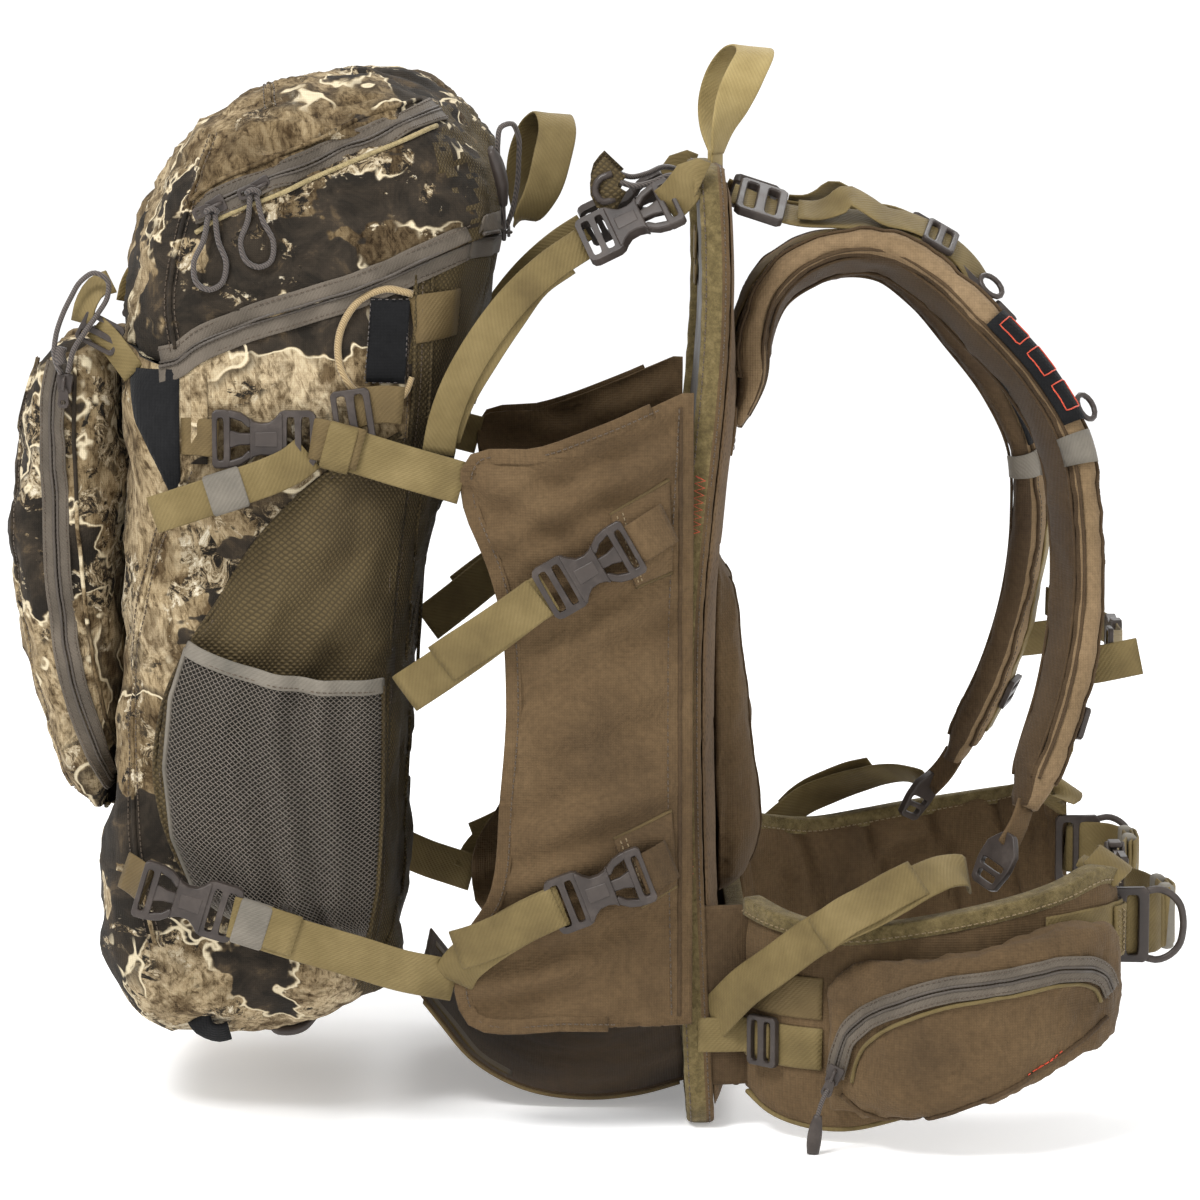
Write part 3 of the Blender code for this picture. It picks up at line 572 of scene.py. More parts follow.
def split(pairs):
    """Pairs of point and direction as two arrays of rows."""
    return tuple(np.array(rows) for rows in zip(*pairs))


def run(rows):
    """Distance from the first point to each of the rows."""
    return np.r_[0, np.cumsum(np.linalg.norm(np.diff(rows[:, :3], axis=0), axis=1))]


def x_at(z, line):
    """Where a line of points (x, z) passes a height."""
    xs, zs = zip(*sorted(line, key=lambda point: point[1]))
    return np.interp(z, zs, xs)


def circle(count):
    """Cosine and sine of evenly spaced angles all round."""
    angles = [2 * math.pi * k / count for k in range(count)]
    return [(math.cos(a), math.sin(a)) for a in angles]


def unit(rows):
    """Rows scaled to length one."""
    rows = np.atleast_2d(np.array(rows, float))
    return rows / np.maximum(np.linalg.norm(rows, axis=1, keepdims=True), 1e-12)


def tangents(rows, closed=False):
    """Unit directions along a line of points."""
    if closed:
        return unit(np.roll(rows, -1, axis=0) - np.roll(rows, 1, axis=0))
    return unit(np.gradient(rows, axis=0))


def added(name, data):
    """A new object in the scene."""
    obj = bpy.data.objects.new(name, data)
    SCENE.collection.objects.link(obj)
    return obj


def make(name, verts, faces, mat, uvs=None, smooth=True):
    """A mesh object in metres from rows of points, with its material."""
    mesh = bpy.data.meshes.new(name)
    mesh.from_pydata([tuple(v) for v in verts], [], [tuple(int(i) for i in f) for f in faces])
    if uvs is not None:
        layer = mesh.uv_layers.new(name="UVMap")
        order = np.zeros(len(mesh.loops), int)
        mesh.loops.foreach_get("vertex_index", order)
        layer.data.foreach_set("uv", np.array(uvs, float)[order].ravel())
    mesh.polygons.foreach_set("use_smooth", [smooth] * len(mesh.polygons))
    return clean(paint(added(name, mesh), mat))


def paint(obj, *mats):
    """Gives an object the named materials; the first one sets its slot."""
    obj.data.materials.clear()
    for mat in mats:
        obj.data.materials.append(MATS[mat])
    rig.slot(obj, SLOTS[mats[0]])
    return obj


def loft(name, rings, mat, closed=True, caps=(True, True)):
    """A skin over rings (each the same number of rows), in millimetres."""
    rings = np.array(rings, float)
    count, around = rings.shape[:2]
    verts = rings.reshape(-1, 3) * MM
    faces = []
    last = around if closed else around - 1
    for i in range(count - 1):
        for j in range(last):
            k = (j + 1) % around
            faces.append((i * around + j, i * around + k, (i + 1) * around + k, (i + 1) * around + j))
    if closed and caps[0]:
        faces.append(tuple(range(around)))
    if closed and caps[1]:
        faces.append(tuple(range((count - 1) * around, count * around)))
    along = run(rings.mean(axis=1)) * MM
    uvs = [(j / around * 0.1, along[i]) for i in range(count) for j in range(around)]
    return make(name, verts, faces, mat, uvs)


STRAP_PROFILE = np.array([
    (-1, 0), (-0.975, 0.62), (-0.90, 0.95), (-0.5, 1.0), (0, 1.0), (0.5, 1.0), (0.90, 0.95),
    (0.975, 0.62), (1, 0), (0.975, -0.62), (0.90, -0.95), (0.5, -1.0), (0, -1.0), (-0.5, -1.0),
    (-0.90, -0.95), (-0.975, -0.62)])


def frame_along(rows, hint, closed=False):
    """Unit across and outward vectors for a flat strip whose face looks along hint."""
    along = tangents(rows[:, :3], closed)
    hints = np.broadcast_to(np.array(hint, float), along.shape)
    across = unit(np.cross(along, hints))
    return across, unit(np.cross(across, along))


def ribbon(name, points, half, thick, hint, mat, count=None, wave=0.0, closed=False, smooth=True,
           seed=0.0):
    """A flat strap in millimetres along points, its face along hint; half may vary per point."""
    rows = np.array(points, float)
    if rows.shape[1] == 3:
        halves = np.broadcast_to(np.array(half, float), (len(rows),))
        rows = np.column_stack([rows, halves])
    if smooth:
        length = run(rows)[-1]
        count = count or max(8, int(length / 4))
        hints = np.broadcast_to(np.array(hint, float), (len(rows), 3))
        rows = resample(np.column_stack([rows, hints]), count, closed)
        hint = rows[:, 4:7]
    across, out = frame_along(rows, hint, closed)
    if wave:
        ripple = [noise.noise(Vector(r[:3]) * 0.035 + Vector((seed, 3, 7))) for r in rows]
        rows[:, :3] += out * (wave * np.array(ripple))[:, None]
    centre, width = rows[:, None, :3], rows[:, 3][:, None, None]
    a, b = STRAP_PROFILE[None, :, 0:1], STRAP_PROFILE[None, :, 1:2]
    sag = [noise.noise(Vector(r[:3]) * 0.02 + Vector((seed, 1, 1))) for r in rows]
    bow = np.array(sag)[:, None, None] * wave * 0.5 * (1 - a * a)
    rings = centre + across[:, None] * a * width + out[:, None] * (b * thick / 2 + bow)
    obj = loft(name, rings if not closed else np.vstack([rings, rings[:1]]), mat,
               caps=(not closed, not closed))
    if closed:
        return clean(obj, WELD)
    set_uv(obj, rows, rows[:, 3])
    return obj


def set_uv(obj, rows, halves):
    """UVs in metres for a strap: U across, V along."""
    length = run(rows) * MM
    uvs = np.array([(a * h * MM, v) for h, v in zip(halves, length) for a in STRAP_PROFILE[:, 0]])
    order = np.zeros(len(obj.data.loops), int)
    obj.data.loops.foreach_get("vertex_index", order)
    obj.data.uv_layers[0].data.foreach_set("uv", uvs[order].ravel())


def clean(obj, merge=None):
    """Turns all faces outward, after joining points closer than merge."""
    shape = bmesh.new()
    shape.from_mesh(obj.data)
    if merge:
        bmesh.ops.remove_doubles(shape, verts=shape.verts, dist=merge)
    bmesh.ops.recalc_face_normals(shape, faces=shape.faces)
    shape.to_mesh(obj.data)
    shape.free()
    return obj


# Centre lines of tubes in metres, by name, for the cords among them.
LINES = {}


def tube(name, points, radius, mat, sides=8, closed=False, step=3.0, flat=1.0, hint=(0, 0, 1),
         smooth=True, twist=0.0):
    """A round cord, piping or bar in millimetres along points."""
    rows = np.array(points, float)
    if smooth:
        length = run(rows)[-1]
        rows = resample(rows, max(6, int(length / step)), closed)
    along = tangents(rows[:, :3], closed)
    normal = np.array(hint, float)
    rings = []
    for index, direction in enumerate(along):
        normal = normal - direction * normal.dot(direction)
        if np.linalg.norm(normal) < 1e-3:
            normal = np.cross(direction, (0.3, 0.5, 0.8))
        normal = normal / np.linalg.norm(normal)
        side = np.cross(direction, normal)
        size = rows[index, 3] if rows.shape[1] > 3 else radius
        angles = np.arange(sides) * 2 * math.pi / sides + twist * index
        rings.append(rows[index, :3] + np.outer(np.cos(angles), normal) * size * flat
                     + np.outer(np.sin(angles), side) * size)
    if closed:
        rings.append(rings[0])
    obj = loft(name, rings, mat, caps=(not closed, not closed))
    LINES[name] = rows[:, :3] * MM
    return clean(obj, WELD) if closed else obj


def free_cord(obj, radius, far_end, lay, pieces=()):
    """Declares a limp cord made by tube()."""
    line = LINES[obj.name]
    length = float(run(line)[-1])
    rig.cord(obj, exit=line[0], length=round(length, 4), diameter=2 * radius * MM, far_end=far_end,
            stiffness="limp", lay=lay, path=line, with_pieces=pieces)


def join(name, parts):
    """Several pieces of one material family made one object."""
    if len(parts) > 1:
        with bpy.context.temp_override(active_object=parts[0], selected_objects=parts,
                                       selected_editable_objects=parts, object=parts[0]):
            bpy.ops.object.join()
    parts[0].name = name
    parts[0].data.name = name
    return parts[0]


def stitches(name, points, hint, mat="thread", pitch=3.6, length=2.4, width=0.75, lift=0.35,
             closed=False):
    """A row of single stitches lying on a surface whose outward direction is hint."""
    rows = np.array(points, float)[:, :3]
    hints = np.broadcast_to(np.array(hint, float), (len(rows), 3))
    total = run(rows)[-1]
    count = max(3, int(total / pitch))
    rows = resample(np.column_stack([rows, hints]), count, closed)
    hint = rows[:, 3:6]
    rows = rows[:, :3]
    across, out = frame_along(rows, hint, closed)
    along = tangents(rows, closed)
    verts, faces = [], []
    for centre, a, c, n in zip(rows, along, across, out):
        base = len(verts)
        for end in (-1, 1):
            for side, up in ((-1, -0.4), (-0.55, 1), (0.55, 1), (1, -0.4)):
                rise = up * (0.8 if up < 0 else 1)
                verts.append((centre + a * end * length / 2 + c * side * width / 2
                              + n * lift * rise) * MM)
        faces += [(base + i, base + (i + 1) % 4, base + 4 + (i + 1) % 4, base + 4 + i) for i in range(4)]
        faces += [tuple(base + i for i in range(4)), tuple(base + 4 + i for i in range(4))]
    return make(name, verts, faces, mat, smooth=False)


def zigzag(name, points, hint, mat, reach=2.0, pitch=1.6, radius=0.45):
    """A tight zigzag bartack along points."""
    rows = np.array(points, float)[:, :3]
    total = run(rows)[-1]
    rows = resample(rows, max(6, int(total / pitch)))
    across, out = frame_along(rows, hint)
    sign = np.array([1 if i % 2 else -1 for i in range(len(rows))])[:, None]
    return tube(name, rows + across * sign * reach + out * radius, radius, mat, 5, smooth=False)


def crumple(points, normals, size, amount, seed=0.0, stretch=(1, 1, 1), folds=False):
    """Moves points (mm) along normals by smooth noise; folds gives sharper creases."""
    moved = np.array(points, float)
    scale = np.array(stretch, float) / size
    for index, point in enumerate(points):
        value = noise.fractal(Vector(point * scale) + Vector((seed, seed * 0.7, -seed)), 0.9, 2.1, 3)
        if folds:
            value = 0.5 - abs(value) * 1.6
        moved[index] += normals[index] * value * amount
    return moved


def read(obj, key="co"):
    """The mesh's points in metres, or another value of its vertices, as rows."""
    out = np.zeros(len(obj.data.vertices) * 3)
    obj.data.vertices.foreach_get(key, out)
    return out.reshape(-1, 3)


def rumple(obj, *layers):
    """Applies crumple layers (size, amount, seed, stretch, folds) to an object's mesh."""
    for layer in layers:
        moved = crumple(read(obj) / MM, read(obj, "normal"), *layer)
        obj.data.vertices.foreach_set("co", (moved * MM).ravel())
        obj.data.update()
    return obj


def modify(obj, kind, **settings):
    """Adds a modifier and applies it."""
    made = obj.modifiers.new("step", kind)
    for key, value in settings.items():
        setattr(made, key, value)
    with bpy.context.temp_override(object=obj, active_object=obj, selected_objects=[obj]):
        bpy.ops.object.modifier_apply(modifier="step")
    return obj


def smooth_faces(obj):
    """Shades all faces of a mesh smooth."""
    obj.data.polygons.foreach_set("use_smooth", [True] * len(obj.data.polygons))


def thicken(obj, thickness, offset=0):
    """Gives a sheet its thickness in metres."""
    return modify(obj, "SOLIDIFY", thickness=thickness, offset=offset)


def plate(name, outline, thick, place, mat, holes=(), bevel=1.0, segments=2):
    """A flat moulded plate (u, v outline in mm) with holes, bevelled, put in place by a matrix."""
    shape = bmesh.new()
    edges = []
    for loop in (outline, *holes):
        verts = [shape.verts.new((u, v, -thick / 2)) for u, v in loop]
        edges += [shape.edges.new((verts[i], verts[(i + 1) % len(verts)])) for i in range(len(verts))]
    bmesh.ops.triangle_fill(shape, use_beauty=True, use_dissolve=True, edges=edges)
    extruded = bmesh.ops.extrude_face_region(shape, geom=shape.faces[:])
    top = [g for g in extruded["geom"] if isinstance(g, bmesh.types.BMVert)]
    bmesh.ops.translate(shape, verts=top, vec=(0, 0, thick))
    bmesh.ops.recalc_face_normals(shape, faces=shape.faces)
    mesh = bpy.data.meshes.new(name)
    shape.to_mesh(mesh)
    shape.free()
    obj = added(name, mesh)
    if bevel:
        modify(obj, "BEVEL", width=bevel, segments=segments, limit_method="ANGLE",
               angle_limit=math.radians(40))
    smooth_faces(obj)
    mesh.transform(place)
    mesh.transform(Matrix.Scale(MM, 4))
    if place.determinant() < 0:
        mesh.flip_normals()
    if bevel:
        modify(obj, "WEIGHTED_NORMAL")
    return paint(obj, mat)


def box_bar(name, size, place, mat, bevel=0.8):
    """A moulded bar with rounded edges, centred on its place."""
    x, y, z = (s / 2 for s in size)
    return plate(name, [(-x, -y), (x, -y), (x, y), (-x, y)], z * 2, place, mat, bevel=bevel)


class Skin:
    """A finished surface that other pieces are laid on."""

    def __init__(self, *objs):
        verts, faces = [], []
        for obj in objs:
            base = len(verts)
            verts += [v.co / MM for v in obj.data.vertices]
            faces += [[base + i for i in p.vertices] for p in obj.data.polygons]
        self.tree = BVHTree.FromPolygons(verts, faces)

    def cast(self, origin, direction):
        """Where a ray meets the skin, or the nearest point on it."""
        hit, normal, _, _ = self.tree.ray_cast(Vector(origin), Vector(direction))
        if hit is None:
            hit, normal, _, _ = self.tree.find_nearest(Vector(origin))
        direction = Vector(direction)
        if normal.dot(direction) > 0:
            normal = -normal
        return np.array(hit), np.array(normal)

    def lay(self, points, lift=0.0, side=None, toward=None):
        """Points (x, z) seen from a side, or (x, y, z) cast along toward, as rows and normals."""
        spots, outs, missed = [], [], []
        for point in points:
            if side is not None:
                origin, direction = np.array((point[0], side * 400, point[1]), float), (0, -side, 0)
            else:
                direction = np.array(toward, float)
                origin = np.array(point[:3], float) - direction * 300
            if self.tree.ray_cast(Vector(origin), Vector(direction))[0] is None:
                missed.append(len(spots))
            spot, out = self.cast(origin, direction)
            spots.append(spot)
            outs.append(out)
        found = [k for k in range(len(spots)) if k not in missed]
        for k in missed if found else ():
            best = min(found, key=lambda other: abs(other - k))
            if side is not None:
                spots[k] = np.array((points[k][0], spots[best][1], points[k][1]), float)
                outs[k] = outs[best]
        outs = np.array(outs)
        smooth = outs.copy()
        if len(outs) > 2:
            smooth[1:-1] = (outs[:-2] + outs[1:-1] * 2 + outs[2:]) / 4
        outs = unit(smooth)
        return np.array(spots) + outs * lift, outs


def dense(points, step=5.0):
    """A 2-D or 3-D polyline resampled on a smooth curve."""
    rows = np.array(points, float)
    flat = rows.shape[1] == 2
    if flat:
        rows = np.column_stack([rows[:, 0], np.zeros(len(rows)), rows[:, 1]])
    length = run(rows)[-1]
    rows = resample(rows, max(4, int(length / step)))
    return rows[:, [0, 2]] if flat else rows


def attach(obj, how):
    """how is a body name, or ("blend", a, b, start, end), ("squash", joint, axis, anchor, keep), or
    ("press", body, joint, axis, anchor, keep) for a piece that is flattened while it rides on that body."""
    if isinstance(how, str):
        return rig.ride(obj, how)
    if how[0] == "blend":
        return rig.blend(obj, how[1], how[2], how[3], how[4])
    body, how = (how[1], how[1:]) if how[0] == "press" else ("frame", how)
    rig.ride(obj, body)
    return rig.squash(obj, how[1], how[2], how[3], how[4])


def attach_all(how, *objs):
    """Attaches several pieces in the same way."""
    for obj in objs:
        attach(obj, how)


def puff(obj, voxel, pressure, cap, pinned=None):
    """Cloth with inner pressure, capped movement, applied; returns the remeshed object."""
    modify(obj, "REMESH", mode="VOXEL", voxel_size=voxel)
    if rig.quick():
        smooth_faces(obj)
        return obj
    rest = read(obj)
    cloth = obj.modifiers.new("step", "CLOTH")
    cloth.settings.use_pressure = True
    cloth.settings.uniform_pressure_force = pressure
    cloth.settings.effector_weights.gravity = 0
    cloth.settings.quality = 4
    cloth.point_cache.frame_start = 1
    cloth.point_cache.frame_end = 20
    for step in range(1, 21):
        SCENE.frame_set(step)
    move = read(obj.evaluated_get(bpy.context.evaluated_depsgraph_get())) - rest
    size = np.linalg.norm(move, axis=1, keepdims=True)
    move *= np.minimum(1, cap / np.maximum(size, 1e-9))
    if pinned is not None:
        move *= np.array([pinned(p / MM) for p in rest])[:, None]
    obj.modifiers.clear()
    obj.data.vertices.foreach_set("co", (rest + move).ravel())
    SCENE.frame_set(1)
    modify(obj, "SUBSURF", levels=1)
    smooth_faces(obj)
    return obj


# ---------------------------------------------------------------- frame
FRAME_HEIGHT = 568
FRAME_HALF = 156
FRAME_CORNER = 24


def frame_x(z):
    """The frame's S curve in millimetres."""
    if z < 230:
        return -13 + 9 * ((230 - max(z, 0)) / 230) ** 1.5
    if z <= 270:
        return -13.0
    return -5 + 8 * math.cos(math.pi * (z - 500) / 230)


def back_panel():
    """Padded air-mesh panel with sewn channels towards the wearer."""
    rings = []
    fronts = np.linspace(-1, 1, 61)
    for z in np.r_[10, 11.5, np.linspace(15, 553, 110), 556.5, 558]:
        end = min(z - 10, 558 - z)
        rim = math.sqrt(max(0.02, min(1, end / 9)))
        corner = FRAME_CORNER - math.sqrt(max(0, FRAME_CORNER**2 - max(0, FRAME_CORNER - end) ** 2))
        half = 151 - corner
        ring = []
        for f in fronts:
            y = f * half
            side = max(0.0, min(1, (half - abs(y)) / 42)) ** 0.6
            spine = math.exp(-(y / 9) ** 2) * 3.2
            seam = math.exp(-((abs(y) - 78) / 3.0) ** 2) * 2.4
            cross = sum(math.exp(-((z - c + 0.0016 * y * y) / 3.0) ** 2) for c in (150, 255, 360, 465))
            swell = 0.6 * noise.noise(Vector((y * 0.03, z * 0.03, 2)))
            crown = 8 - 5 * min(1, max(0, (z - 425) / 60))
            grooves = spine + seam + 2.2 * cross * (1 if abs(y) > 14 else 0.2)
            x = crown * rim * side - grooves * side * rim
            ring.append((frame_x(z) + 11 + max(0.4, x + swell * side), y, z))
        for f in fronts[::-6]:
            ring.append((frame_x(z) + 11, f * half, z))
        rings.append(ring)
    obj = loft("back_pad", rings, "foam")
    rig.replaces(obj, "back_panel")
    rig.padded(obj, 0.4)
    attach(obj, "frame")


def edge_loop(inset, height):
    """Points round the frame's rounded outline, inset from its outer edge."""
    half, low, high, radius = FRAME_HALF - inset, inset, height - inset, max(4, FRAME_CORNER - inset)
    points = []
    for cy, cz, start in ((half - radius, high - radius, 0), (radius - half, high - radius, 90),
                          (radius - half, low + radius, 180), (half - radius, low + radius, 270)):
        for step in range(0, 91, 15):
            a = math.radians(start + step)
            points.append((0, cy + radius * math.cos(a), cz + radius * math.sin(a)))
    rows = np.array(points)
    filled = []
    for a, b in zip(rows, np.roll(rows, -1, axis=0)):
        parts = max(1, int(np.linalg.norm(b - a) / 6))
        filled += [a + (b - a) * k / parts for k in range(parts)]
    rows = np.array(filled)
    rows[:, 0] = [frame_x(z) + 2 for z in rows[:, 2]]
    return rows


def edge_binding():
    """Folded tape all round the frame's edge with its stitch rows and bartacks."""
    rows = edge_loop(2.6, FRAME_HEIGHT)
    outward = rows - np.array([0, 0, FRAME_HEIGHT / 2])
    outward[:, 0] = 0
    flat = tangents(rows, True)
    out = unit(np.cross(flat, (1, 0, 0)))
    out *= np.sign((out * outward).sum(axis=1))[:, None]
    profile = [(8.2 * bent(c, 0.7), 2.7 * bent(s, 0.8)) for c, s in circle(20)]
    rings = []
    for i, row in enumerate(rows):
        wob = 0.5 * noise.noise(Vector((row[1], row[2], 0)) * 0.05)
        wide = 1 + 0.05 * wob
        rings.append([row + np.array((a * wide, 0, 0)) + out[i] * (b + wob) for a, b in profile])
    obj = loft("edge_tape", rings + [rings[0]], "binding", caps=(False, False))
    clean(obj, WELD)
    paint(obj, "binding", "brown")
    for face in obj.data.polygons:
        face.material_index = 1 if face.center.x / MM > frame_x(face.center.z / MM) + 6.4 else 0
    rumple(obj, (5, 0.35, 3.0), (1.6, 0.3, 9.0))
    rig.replaces(obj, "edge_binding")
    attach(obj, "frame")
    for name, shift in (("rear", -5.6), ("front", 5.6)):
        line = rows + np.array((shift, 0, 0)) + out * 2.35
        attach(stitches("edge_stitch_" + name, line, out, "thread_dark", 4.2, 3.0, 0.8, closed=True),
               "frame")
    for side, name in SIDES:
        for k, z in enumerate((372, 170)):
            line = [(frame_x(z + d) + 1, side * 158.0, z + d) for d in (-17, -6, 6, 17)]
            attach(zigzag("edge_tack_%d_%s" % (k, name), line, (0, side, 0), "thread_red", 3.0, 1.9, 0.45),
                   "frame")


def cad_materials():
    """Hard CAD nodes that keep their shape."""
    paint_node("frame_sheet", "sheet")
    paint_node("frame_hoop", "metal")


def paint_node(node, mat):
    """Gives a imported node's piece its material."""
    obj = frame["nodes"][node]
    obj.data.materials.clear()
    obj.data.materials.append(MATS[mat])


def pad_ring(back, front, half, z, count=48, power=2.6, notch=0.0):
    """A D-shaped cushion section: flat at the back, crowned in front."""
    ring = []
    for c, s in circle(count):
        y = half * bent(s, 2 / power)
        depth = abs(c) ** (2 / power)
        x = back + (front - back) * (0.12 + 0.88 * depth if c > 0 else 0.12 - 0.12 * depth)
        if c > 0:
            x -= notch * (front - back) * math.exp(-(y / 9) ** 2)
        ring.append((x, y, z))
    return ring


def lumbar_pad():
    """Foam lumbar cushion, swollen between its sewn channels."""
    table = np.array([(122, 8, 58), (134, 20, 77), (160, 25, 86), (200, 23, 86), (245, 18, 82),
                      (290, 12, 72), (322, 6, 55), (330, 3, 46)], float)
    rings = []
    for z in np.linspace(122, 330, 50):
        depth, half = (np.interp(z, table[:, 0], table[:, k]) for k in (1, 2))
        back = frame_x(z) + 19.4
        rings.append(pad_ring(back, back + depth, half, z, notch=0.22))
    obj = loft("lumbar_cushion", rings, "brown")
    obj = puff(obj, 0.005, 4, 0.005, lambda p: 1.0 if p[0] > frame_x(p[2]) + 22 else 0.0)
    rumple(obj, (38, 1.6, 4.0), (14, 0.5, 8.0))
    paint(obj, "brown")
    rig.replaces(obj, "lumbar_pad")
    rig.padded(obj, 0.7)
    attach(obj, "frame")
    skin = Skin(obj)
    for k, y in enumerate((-44, 44)):
        line = [(30, y * (0.7 + 0.3 * math.sin((z - 120) / 66)), z) for z in range(136, 322, 6)]
        spots, _ = skin.lay(line, 0.2, toward=(-1, 0, 0))
        attach(tube("lumbar_seam_%d" % k, spots, 1.0, "brown_dark"), "frame")


def belt_middle():
    """Foam middle of the hip belt behind the lumbar cushion."""
    rings = []
    back = frame_x(70) + 22.4
    for y in np.linspace(-132, 132, 60):
        depth = 12 - 3 * (y / 132) ** 2
        ring = []
        for c, s in circle(36):
            swell = 1.0 - 0.28 * sum(math.exp(-((y - g) / 5) ** 2) for g in (-88, -44, 0, 44, 88))
            push = 1 + bent(c, 0.6) * (swell if c > 0 else 1)
            ring.append((back + depth / 2 * push, y, 69 + 47 * bent(s, 0.5)))
        rings.append(ring)
    obj = loft("belt_middle", rings, "brown")
    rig.replaces(obj, "belt_back")
    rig.padded(obj, 0.6)
    attach(obj, "frame")
    line = [(back + 6, y, 115.2) for y in np.linspace(-130, 130, 30)]
    attach(ribbon("belt_middle_binding", line, 6.0, 2.2, (0, 0, 1), "binding"), "frame")


def load_shelf():
    """Fabric shelf that carries the load's foot, with two small webbing straps."""
    path = [(-11, 0, 16), (-40, 0, 8), (-75, 0, 5.4), (-110, 0, 12), (-140, 0, 30), (-158, 0, 52),
            (-172, 0, 70)]
    rows = resample(path, 44)
    verts = []
    for i, (x, _, z) in enumerate(rows):
        row = []
        for y in np.linspace(-95, 95, 41):
            edge = 1 - (abs(y) / 95) ** 4
            lift = 2.2 * noise.fractal(Vector((x, y, 0)) * 0.018, 1, 2, 3) * edge
            row.append((x, y, z + 1.2 + lift - 1.5 * edge * math.sin(math.pi * i / 43)))
        verts.append(row)
    how = squash_to(-11, 161)
    obj = loft("shelf_cloth", verts, "brown_dark", closed=False)
    thicken(obj, 0.0014)
    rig.replaces(obj, "load_shelf")
    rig.sheet(obj, flat=(0.190, 0.206), held="stretched", rests_on=["edge_tape"])
    attach(obj, how)
    skin = Skin(obj)
    for side, name in SIDES:
        spots, outs = skin.lay([(x, side * 93, 0) for x in np.linspace(-168, -14, 40)], 0.4,
                               toward=(0, 0, 1))
        hem = ribbon("shelf_hem_" + name, spots, 5.0, 2.0, outs, "webbing_dark", smooth=False)
        attach(hem, how)
        line = [(-168, side * 70, 66), (-150, side * 71, 44), (-135, side * 72, 26), (-116, side * 72, 14)]
        attach(ribbon("shelf_strap_" + name, line, 7.5, 1.6, (-0.5, 0, -0.8), "webbing_dark"), how)


# ---------------------------------------------------------------- load sling
WING_EDGE = np.array([(68, -42), (70, -85), (75, -144), (90, -147), (108, -146), (142, -127),
                      (200, -120), (260, -116), (319, -121), (352, -132), (374, -141), (396, -141),
                      (403, -102), (417, -62), (438, -14)], float)
# The bag comes COMPRESS closer; what lies between keeps the rest of its reach behind an anchor.
COMPRESS = 60


def squash_to(x, reach):
    """A squash towards a plane x (mm) that leaves room for the bag over a reach."""
    return ("squash", "bag_compress", (1, 0, 0), (x * MM, 0, 0), (reach - COMPRESS) / reach)


WING_HOW = squash_to(-8, 139)


def wing_y(x):
    """How far the side wing stands from the middle at a point."""
    return 163.5 + 13.0 * math.sin(math.pi * min(1.0, (-8.0 - x) / 145.0))


def wing_folds(x, z):
    """Pull lines that fan out from the corners and buckle tabs."""
    value = 2.3 * noise.fractal(Vector((x * 0.022 + z * 0.012, 1.0, z * 0.011 - x * 0.010)), 1, 2, 3)
    for offset, size, width in ((-318, 3.0, 10), (-262, 2.2, 12), (-196, 2.6, 11), (-140, 1.8, 9),
                                (-395, 2.0, 8)):
        value -= size * math.exp(-((z * -0.86 + x * 0.5 - offset * 0.86) / width) ** 2)
    for cx, cz, slope, size in ((-141, 386, -0.30, 2.6), (-146, 84, 0.22, 2.6), (-60, 352, 0.65, 2.0),
                                (-58, 160, 0.5, 2.0), (-20, 420, 0.5, 1.6)):
        along = (x - cx) + (z - cz) * slope
        offset = (z - cz) - (x - cx) * slope
        near = math.exp(-((x - cx) ** 2 + (z - cz) ** 2) / 5200)
        value += size * near * math.sin(offset * 0.21 + along * 0.02) * 1.1
    return value * 1.35


def wing_point(x, z, side, lift=0.0):
    """A point on the side wing, lifted off its face."""
    edge = min(1.0, max(0.0, (-8 - x) / 14.0))
    rim = wing_y(x) + wing_folds(x, z) * edge
    return (x, side * (rim + lift), z)


def sling_wing(side, name):
    """One side of the load sling: a cut sheet with hems and pull folds."""
    edge = WING_EDGE
    left = resample(np.column_stack([edge[:, 1], np.zeros(len(edge)), edge[:, 0]]), 120)
    rows = []
    for x0, _, z0 in left:
        bottom_right = 68 + (438 - 68) * (z0 - 68) / 370
        row = []
        for k in range(57):
            f = k / 56
            x = x0 + (-8 - x0) * f
            z = z0 + (bottom_right - z0) * f
            row.append(wing_point(x, z, side))
        rows.append(row)
    obj = loft("wing_cloth_" + name, rows, "brown", closed=False)
    thicken(obj, 0.0014)
    parts = []
    inner = [(x + 4.0, z) for x, _, z in left[::2]]
    line = np.array([wing_point(x, z, side, 1.1) for x, z in inner])
    line = line[2:-2]
    parts.append(ribbon("wing_hem_" + name, line, 4.6, 1.2, (0, side, 0), "brown", smooth=False))
    parts.append(stitches("wing_hem_stitch_" + name, line + np.array((2.6, side * 0.9, 0)),
                          (0, side, 0), "thread_dark", 3.6, 2.4))
    back = np.array([wing_point(-22, z, side, 0.8) for z in np.linspace(74, 428, 90)])
    back[:, 0] += np.array([frame_x(z) + 12 for z in back[:, 2]]) * 0.5
    parts.append(stitches("wing_root_stitch_" + name, back, (0, side, 0), "thread_dark", 4.0, 2.6))
    seam = np.array([wing_point(-15.5, z, side, 0.7) for z in np.linspace(72, 430, 90)])
    parts.append(tube("wing_root_seam_" + name, seam, 1.3, "brown_dark", flat=0.7, hint=(0, 1, 0)))
    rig.replaces(obj, "sling_wing_" + name)
    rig.sheet(obj, flat=(0.145, 0.375), area=0.0455, held="stretched", rests_on=["edge_tape"],
             with_pieces=parts)
    attach(obj, WING_HOW)
    attach_all(WING_HOW, *parts)
    for part in parts:
        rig.slot(part, "brown_fabric")


